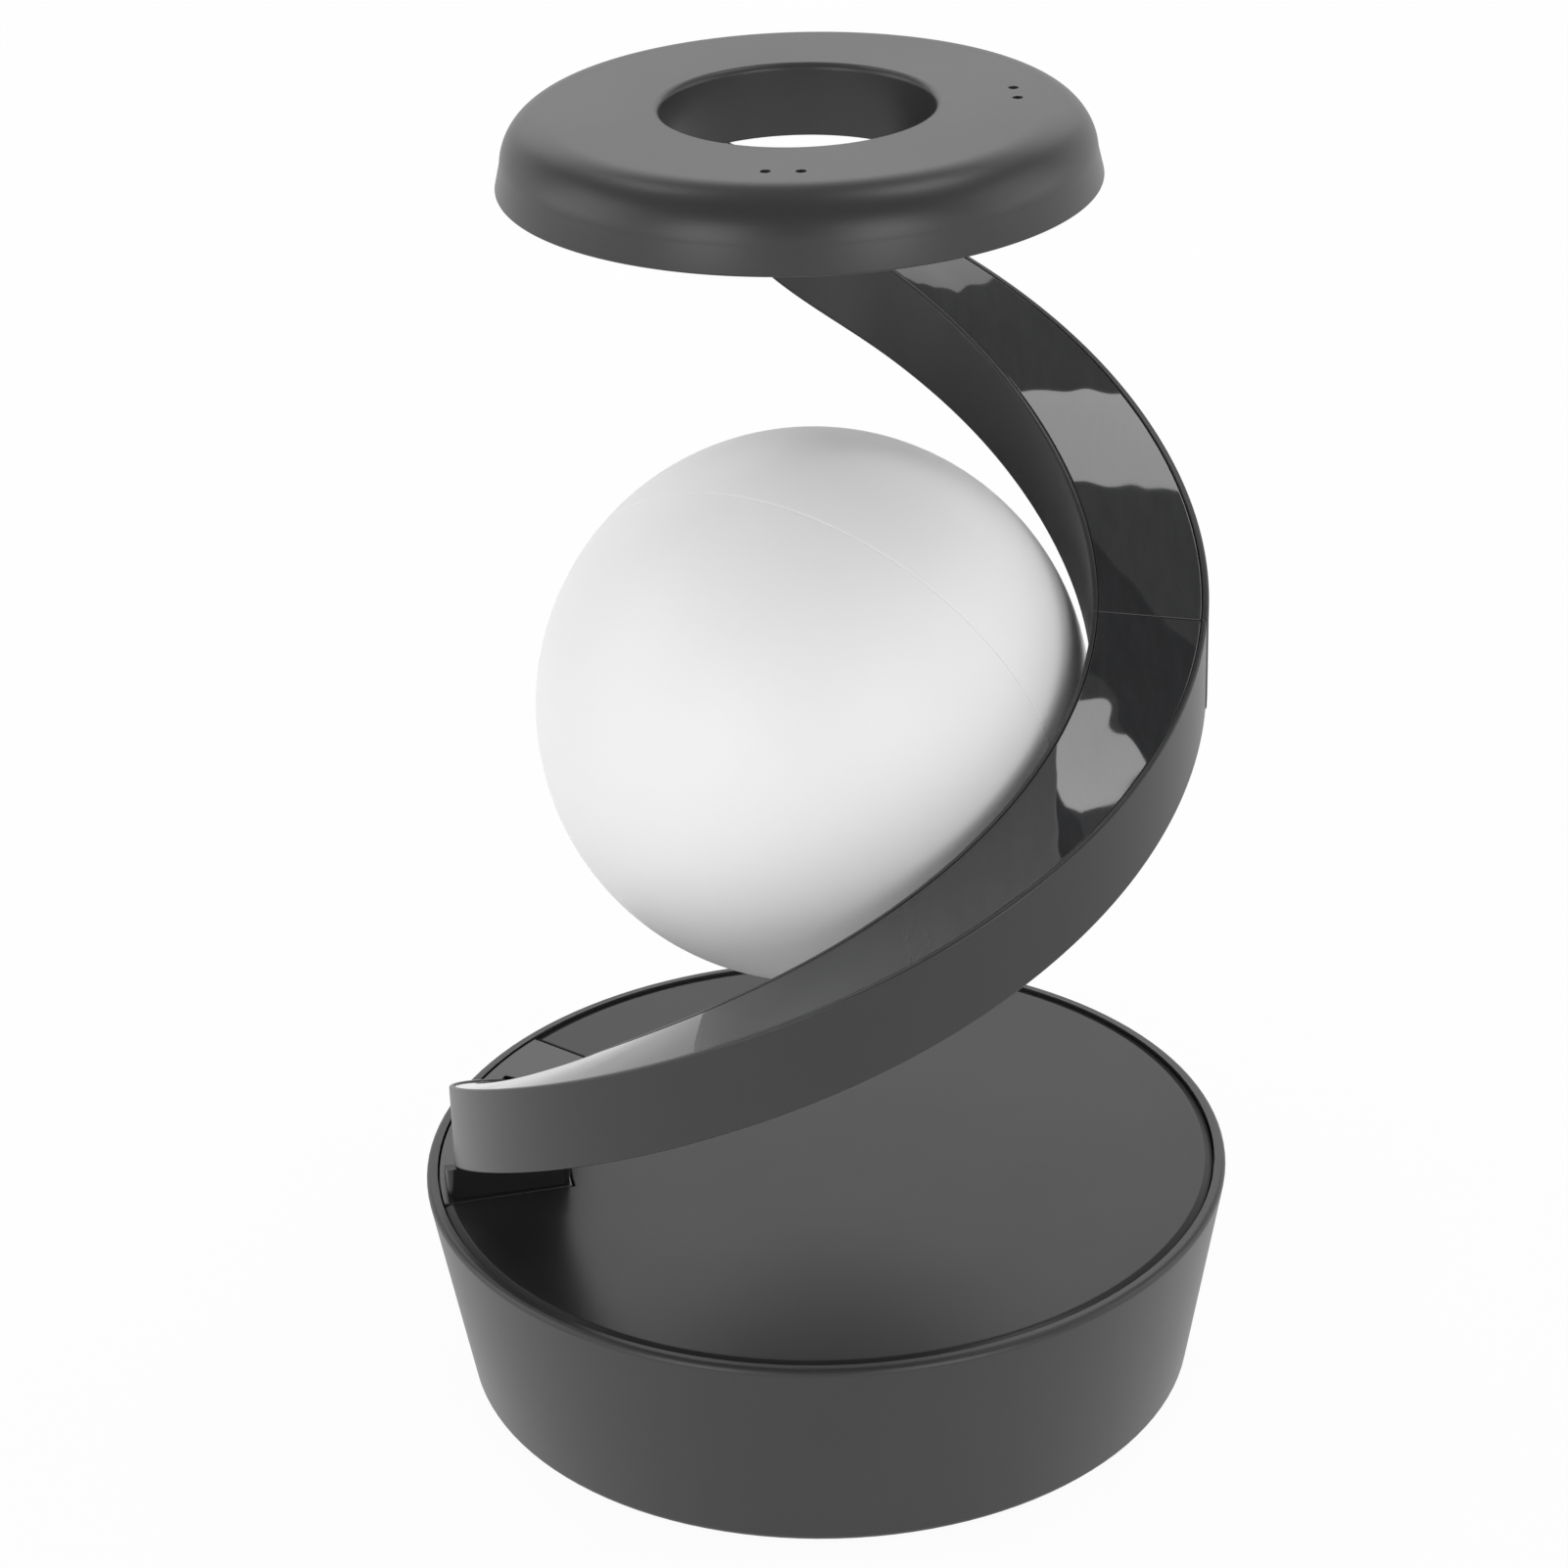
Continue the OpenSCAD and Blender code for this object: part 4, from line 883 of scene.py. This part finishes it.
class LAMP_OT_ring(Operator):
    """Build the ring's moulded cap, with its four pin holes"""
    bl_idname = "lamp.ring"
    bl_label = "Ring"

    def execute(self, context):
        scene = context.scene
        ring = scene.lamp_ring
        low, top, wall = ring.top - ring.height, ring.top, ring.wall
        shoulder = ring.radius - ring.flare - ring.rounding
        hole = ring.hole_radius
        pin_r, circle = ring.pin_radius, ring.pin_circle
        near = np.linspace(circle - 1.5 * pin_r, circle + 1.5 * pin_r, 29)
        soft = 0.35 * MM
        outline = np.concatenate([
            arc(ring.radius - soft, low + soft, soft, -90, 6, 5),
            arc(shoulder, top - ring.rounding, ring.rounding, 3, 90, 26),
            np.stack([near[::-1], 0 * near + top], 1),
            arc(hole + ring.lip_rounding, top - ring.lip_rounding,
                ring.lip_rounding, 90, 180, 14),
            arc(hole + soft, low + soft, soft, 180, 270, 5),
            [[hole + wall, low], [hole + wall, top - wall]],
            arc(shoulder, top - ring.rounding, ring.rounding - wall, 90, 0, 8),
            [[ring.radius - wall, low]]])
        # A step of one degree, and fine steps round the pin holes
        coarse = np.arange(0, 360, 1.0)
        spread = math.degrees(pin_half_turn(ring)) + 2.2
        fine = np.concatenate([np.arange(p - spread, p + spread, 0.13)
                               for p in PIN_ANGLES])
        offset = (coarse[:, None] - PIN_ANGLES + 180) % 360 - 180
        keep = np.all(abs(offset) > spread, 1)
        turns = np.sort(np.concatenate([coarse[keep], fine % 360]))
        grid = revolve(outline, np.radians(turns))
        for centre in pin_places(ring):
            away = np.linalg.norm(grid[..., :2] - centre, axis=-1)
            on_top = grid[..., 2] > top - 1e-7
            sink = 1 - smooth_step((away - pin_r) / (0.14 * pin_r) + 0.5)
            grid[..., 2] -= np.where(on_top, sink * wall * 0.9, 0)
        shape = Shape().grid(grid, wrap_rows=True, wrap_columns=True)
        shape.piece("ring_moulding", "stand", "ring_plastic", "ring_cap", sharp=50)
        return {"FINISHED"}


class LAMP_OT_ball(Operator):
    """Build the two frosted half shells that turn on the spindle"""
    bl_idname = "lamp.ball"
    bl_label = "Ball"

    def execute(self, context):
        scene = context.scene
        ball = scene.lamp_ball
        place = (Matrix.Translation((0, 0, ball.height))
                 @ Matrix.Rotation(ball.axis_turn, 4, "Z")
                 @ Matrix.Rotation(-ball.axis_rise, 4, "Y")
                 @ Matrix.Rotation(ball.turn, 4, "X"))
        hub_turn = math.asin(ball.hub_radius / ball.radius)
        lon = np.sort(np.concatenate([
            np.linspace(-hub_turn, hub_turn, 40),
            np.linspace(hub_turn, 2 * np.pi - hub_turn, 240)[1:-1]]))[:, None]
        notch = np.sqrt(np.maximum(hub_turn ** 2 - lon ** 2, 0))
        limit = np.pi / 2 - np.where(abs(lon) <= hub_turn, notch, 0)
        t = np.linspace(0, 1, 60)
        near = np.linspace(0, np.pi / 2, 7)
        drop = ball.edge * np.concatenate([0 * t, 1 - np.cos(near)])

        def skin(radius, side):
            """A half sphere whose colatitude runs from the pole to the edge, which
            dips round the hub. Its last points follow a quarter circle that leaves
            the sphere to one side, so the edge is rounded."""
            edge_turn = ball.edge / radius
            run = np.concatenate([t * (limit - 3 * edge_turn),
                                  limit - edge_turn * (1 - np.sin(near))], 1)
            r = radius + side * drop
            return polar(r * np.sin(run), lon, r * np.cos(run))

        half = np.concatenate([skin(ball.radius, -1),
                               skin(ball.radius - ball.wall, 1)[:, ::-1]], 1)
        turned = np.array(place.to_3x3()).T
        for name, node, side in (("rear_frosted_shell", "rear_ball_shell", 1),
                                 ("front_frosted_shell", "front_ball_shell", -1)):
            points = half * (1, 1, side) @ turned + np.array(place.translation)
            Shape().grid(points, wrap_rows=True).piece(
                name, "ball", "ball_plastic", node, sharp=60)
        return {"FINISHED"}


class LAMP_OT_rubber_pads(Operator):
    """Build the four rubber feet, with soft edges and a dished face"""
    bl_idname = "lamp.rubber_pads"
    bl_label = "Rubber Pads"

    def execute(self, context):
        scene = context.scene
        base = scene.lamp_base
        r, h, soft = base.pad_radius, 2.6 * MM, 0.5 * MM
        dish = 0.3 * MM
        outline = np.concatenate([
            [[0, dish], [r * 0.55, dish], [r * 0.68, dish * 0.4], [r * 0.74, 0]],
            arc(r - soft, soft, soft, -90, 0, 6), [[r, h], [0, h]]])
        shape = Shape()
        for k in range(4):
            a = k * math.pi / 2
            pad = revolve(outline, around(64))
            pad[..., 0] += base.pad_reach * math.cos(a)
            pad[..., 1] += base.pad_reach * math.sin(a)
            shape.grid(pad, wrap_rows=True)
        shape.piece("rubber_pads", "stand", "foot_rubber", "rubber_feet")
        return {"FINISHED"}


class LAMP_OT_solid_parts(Operator):
    """Give each part of the solid model that still shows its own finish"""
    bl_idname = "lamp.solid_parts"
    bl_label = "Solid Parts"

    def execute(self, context):
        slots = {s["node"]: s["material_slot"] for s in frame["record"]["subparts"]}
        for name, part in frame["nodes"].items():
            material = finish_for(context.scene, slots[name])
            if not part.material_slots:
                part.data.materials.append(material)
            for slot in part.material_slots:
                slot.material = material
        return {"FINISHED"}


# The stage. The camera was fitted to the photograph's outlines: angles in radians,
# its place in metres, its focal length in the photograph's own pixels.
CAMERA_TURN_TILT_ROLL = (-0.021, 0.4639, -0.0327)
CAMERA_PLACE = (0.0056, -0.7278, 0.4807)
CAMERA_SHIFT = (0.0112, 0.0287)
FOCAL_PIXELS = 4300.0
FRAME_PIXELS = 1601.0
SENSOR_WIDTH = 36.0

FLOOR_REACH = 4
FLOOR_POINTS = 61
FLOOR_LEVEL_REACH = 2.2
FLOOR_RISE = 0.25
PAPER_COLOUR = (0.95, 0.95, 0.95)
PAPER_WHITE_SHARE = 0.95
STUDIO_COLOUR = (0.3, 0.3, 0.3, 1)

PANEL_AIM = (0.0, 0.0, 0.12)
# Each panel's name, place, width, height and brightness
PANELS = (
    ("left_panel", (-0.98, -1.40, 0.65), 0.75, 1.25, 2.7),
    ("right_panel", (0.88, -1.45, 0.65), 0.75, 1.25, 2.9),
    ("left_side_panel", (-1.80, 0.00, 0.85), 1.3, 1.3, 1.8),
    ("right_side_panel", (1.80, 0.10, 0.85), 1.3, 1.3, 1.4),
    ("high_left_panel", (-0.57, 0.50, 1.45), 0.25, 0.36, 4.8),
    ("high_right_panel", (0.55, 0.30, 1.60), 0.45, 0.45, 4.8),
    ("back_panel", (0.0, 1.60, 1.10), 2.4, 0.9, 1.55),
)


class LAMP_OT_stage(Operator):
    """Set up the pale floor, the soft light and the photograph's camera"""
    bl_idname = "lamp.stage"
    bl_label = "Stage"

    def execute(self, context):
        scene = context.scene
        scene.view_settings.view_transform = "Standard"
        self.camera(scene)
        self.floor(scene)
        self.world(scene)
        self.lights(scene)
        return {"FINISHED"}

    def camera(self, scene):
        """A pinhole at the photograph's place: forward, right and up from its turn,
        tilt and roll."""
        turn, tilt, roll = CAMERA_TURN_TILT_ROLL
        forward = np.array([math.sin(turn) * math.cos(tilt),
                            math.cos(turn) * math.cos(tilt), -math.sin(tilt)])
        right = np.array([math.cos(turn), -math.sin(turn), 0.0])
        up = np.cross(right, forward)
        data = bpy.data.cameras.new("photo_camera")
        data.sensor_fit = "HORIZONTAL"
        data.sensor_width = SENSOR_WIDTH
        data.lens = FOCAL_PIXELS / FRAME_PIXELS * SENSOR_WIDTH
        data.shift_x, data.shift_y = CAMERA_SHIFT
        data.clip_start = 0.05
        data.clip_end = 20.0
        camera = bpy.data.objects.new("photo_camera", data)
        camera.matrix_world = placement(math.cos(roll) * right + math.sin(roll) * up,
                                        math.cos(roll) * up - math.sin(roll) * right,
                                        -forward, CAMERA_PLACE)
        scene.collection.objects.link(camera)
        scene.camera = camera

    def floor(self, scene):
        """A wide floor, level near the lamp and rising with the square of the distance
        far off."""
        u = np.linspace(-FLOOR_REACH, FLOOR_REACH, FLOOR_POINTS)
        x, y = np.meshgrid(u, u, indexing="ij")
        away = np.maximum(np.hypot(x, y) - FLOOR_LEVEL_REACH, 0)
        z = FLOOR_RISE * away ** 2
        mesh = bpy.data.meshes.new("studio_floor")
        quads = quads_between(np.arange(FLOOR_POINTS ** 2).reshape(x.shape))
        mesh.from_pydata(np.stack([x, y, z], -1).reshape(-1, 3).tolist(), [],
                         quads.tolist())
        mesh.polygons.foreach_set("use_smooth", [True] * len(mesh.polygons))
        mesh.materials.append(self.paper())
        floor = bpy.data.objects.new("studio_floor", mesh)
        scene.collection.objects.link(floor)

    def paper(self):
        """Pale matt paper. Seen by the camera, in gloss and through clear things, it
        is nearly white of itself and keeps a part of the lamp's shadow."""
        material, tree, shader, place = new_material("studio_paper")
        grain = place_group(tree, spark_grain_group(), place, Grain_Scale=300.0,
                            Drift_Scale=3.0)
        cover(tree, shader, colour_ramp(tree, grain, "Shade", PAPER_COLOUR, 0.979, 1.0),
              1.0, Specular_IOR_Level=0.0)
        white = add(tree, "ShaderNodeEmission", Strength=1.0)
        rays = add(tree, "ShaderNodeLightPath").outputs
        seen = maths(tree, "MAXIMUM", rays["Is Camera Ray"], rays["Is Glossy Ray"])
        seen = maths(tree, "MAXIMUM", seen, rays["Is Transmission Ray"])
        mixed = feed(tree, "ShaderNodeMixShader",
                     maths(tree, "MULTIPLY", seen, PAPER_WHITE_SHARE),
                     shader.outputs[0], white.outputs[0])
        tree.links.new(mixed, tree.nodes["Material Output"].inputs["Surface"])
        return material

    def world(self, scene):
        """A plain, even studio, a trace brighter towards the horizon."""
        world = bpy.data.worlds.new("studio")
        world.use_nodes = True
        tree = world.node_tree
        light = tree.nodes["Background"]
        set_inputs(light, Color=STUDIO_COLOUR)
        place = add(tree, "ShaderNodeTexCoord")
        split = add(tree, "ShaderNodeSeparateXYZ")
        link(tree, place, "Generated", split, "Vector")
        fade = map_range(tree, split.outputs["Z"], 1.0, 0.95, 0.0, 0.6)
        tree.links.new(fade, light.inputs["Strength"])
        scene.world = world

    def lights(self, scene):
        """Soft panels, each aimed at the lamp. The energy is the brightness times pi
        times the area, so a panel's size doesn't change how bright it looks."""
        for name, place, width, height, brightness in PANELS:
            data = bpy.data.lights.new(name, "AREA")
            data.shape = "RECTANGLE"
            data.size = width
            data.size_y = height
            data.energy = brightness * math.pi * width * height
            panel = bpy.data.objects.new(name, data)
            aim = np.array(PANEL_AIM) - np.array(place)
            aim /= np.linalg.norm(aim)
            side = np.cross(aim, (0, 0, 1.0))
            side /= np.linalg.norm(side)
            panel.matrix_world = placement(side, np.cross(side, aim), -aim, place)
            scene.collection.objects.link(panel)


GROUPS = (("lamp_base", LampBaseSizes), ("lamp_foot", LampFootSizes),
          ("lamp_arm", LampArmSizes), ("lamp_ring", LampRingSizes),
          ("lamp_ball", LampBallSizes), ("lamp_finishes", LampFinishes))
OPERATORS = (LAMP_OT_stage, LAMP_OT_solid_parts, LAMP_OT_top_plate, LAMP_OT_arm_foot,
             LAMP_OT_arm_halves, LAMP_OT_arm_strips, LAMP_OT_ring, LAMP_OT_ball,
             LAMP_OT_rubber_pads)


class LAMP_PT_sidebar(Panel):
    """Lists the lamp's sizes and the buttons that build its pieces"""
    bl_label = "Spiral Bedside Lamp"
    bl_idname = "LAMP_PT_sidebar"
    bl_space_type = "VIEW_3D"
    bl_region_type = "UI"
    bl_category = "Lamp"

    def draw(self, context):
        for name, group in GROUPS:
            box = self.layout.box()
            for key in group.__annotations__:
                box.prop(getattr(context.scene, name), key)
        for operator in OPERATORS:
            self.layout.operator(operator.bl_idname)


def register():
    for name, group in GROUPS:
        bpy.utils.register_class(group)
        setattr(bpy.types.Scene, name, PointerProperty(type=group))
    for operator in OPERATORS:
        bpy.utils.register_class(operator)
    bpy.utils.register_class(LAMP_PT_sidebar)


def unregister():
    bpy.utils.unregister_class(LAMP_PT_sidebar)
    for operator in reversed(OPERATORS):
        bpy.utils.unregister_class(operator)
    for name, group in reversed(GROUPS):
        delattr(bpy.types.Scene, name)
        bpy.utils.unregister_class(group)


def main():
    register()
    bpy.ops.lamp.stage()
    bpy.ops.lamp.solid_parts()
    bpy.ops.lamp.top_plate()
    bpy.ops.lamp.arm_foot()
    bpy.ops.lamp.arm_halves()
    bpy.ops.lamp.arm_strips()
    bpy.ops.lamp.ring()
    bpy.ops.lamp.ball()
    bpy.ops.lamp.rubber_pads()


if __name__ == "__main__":
    main()
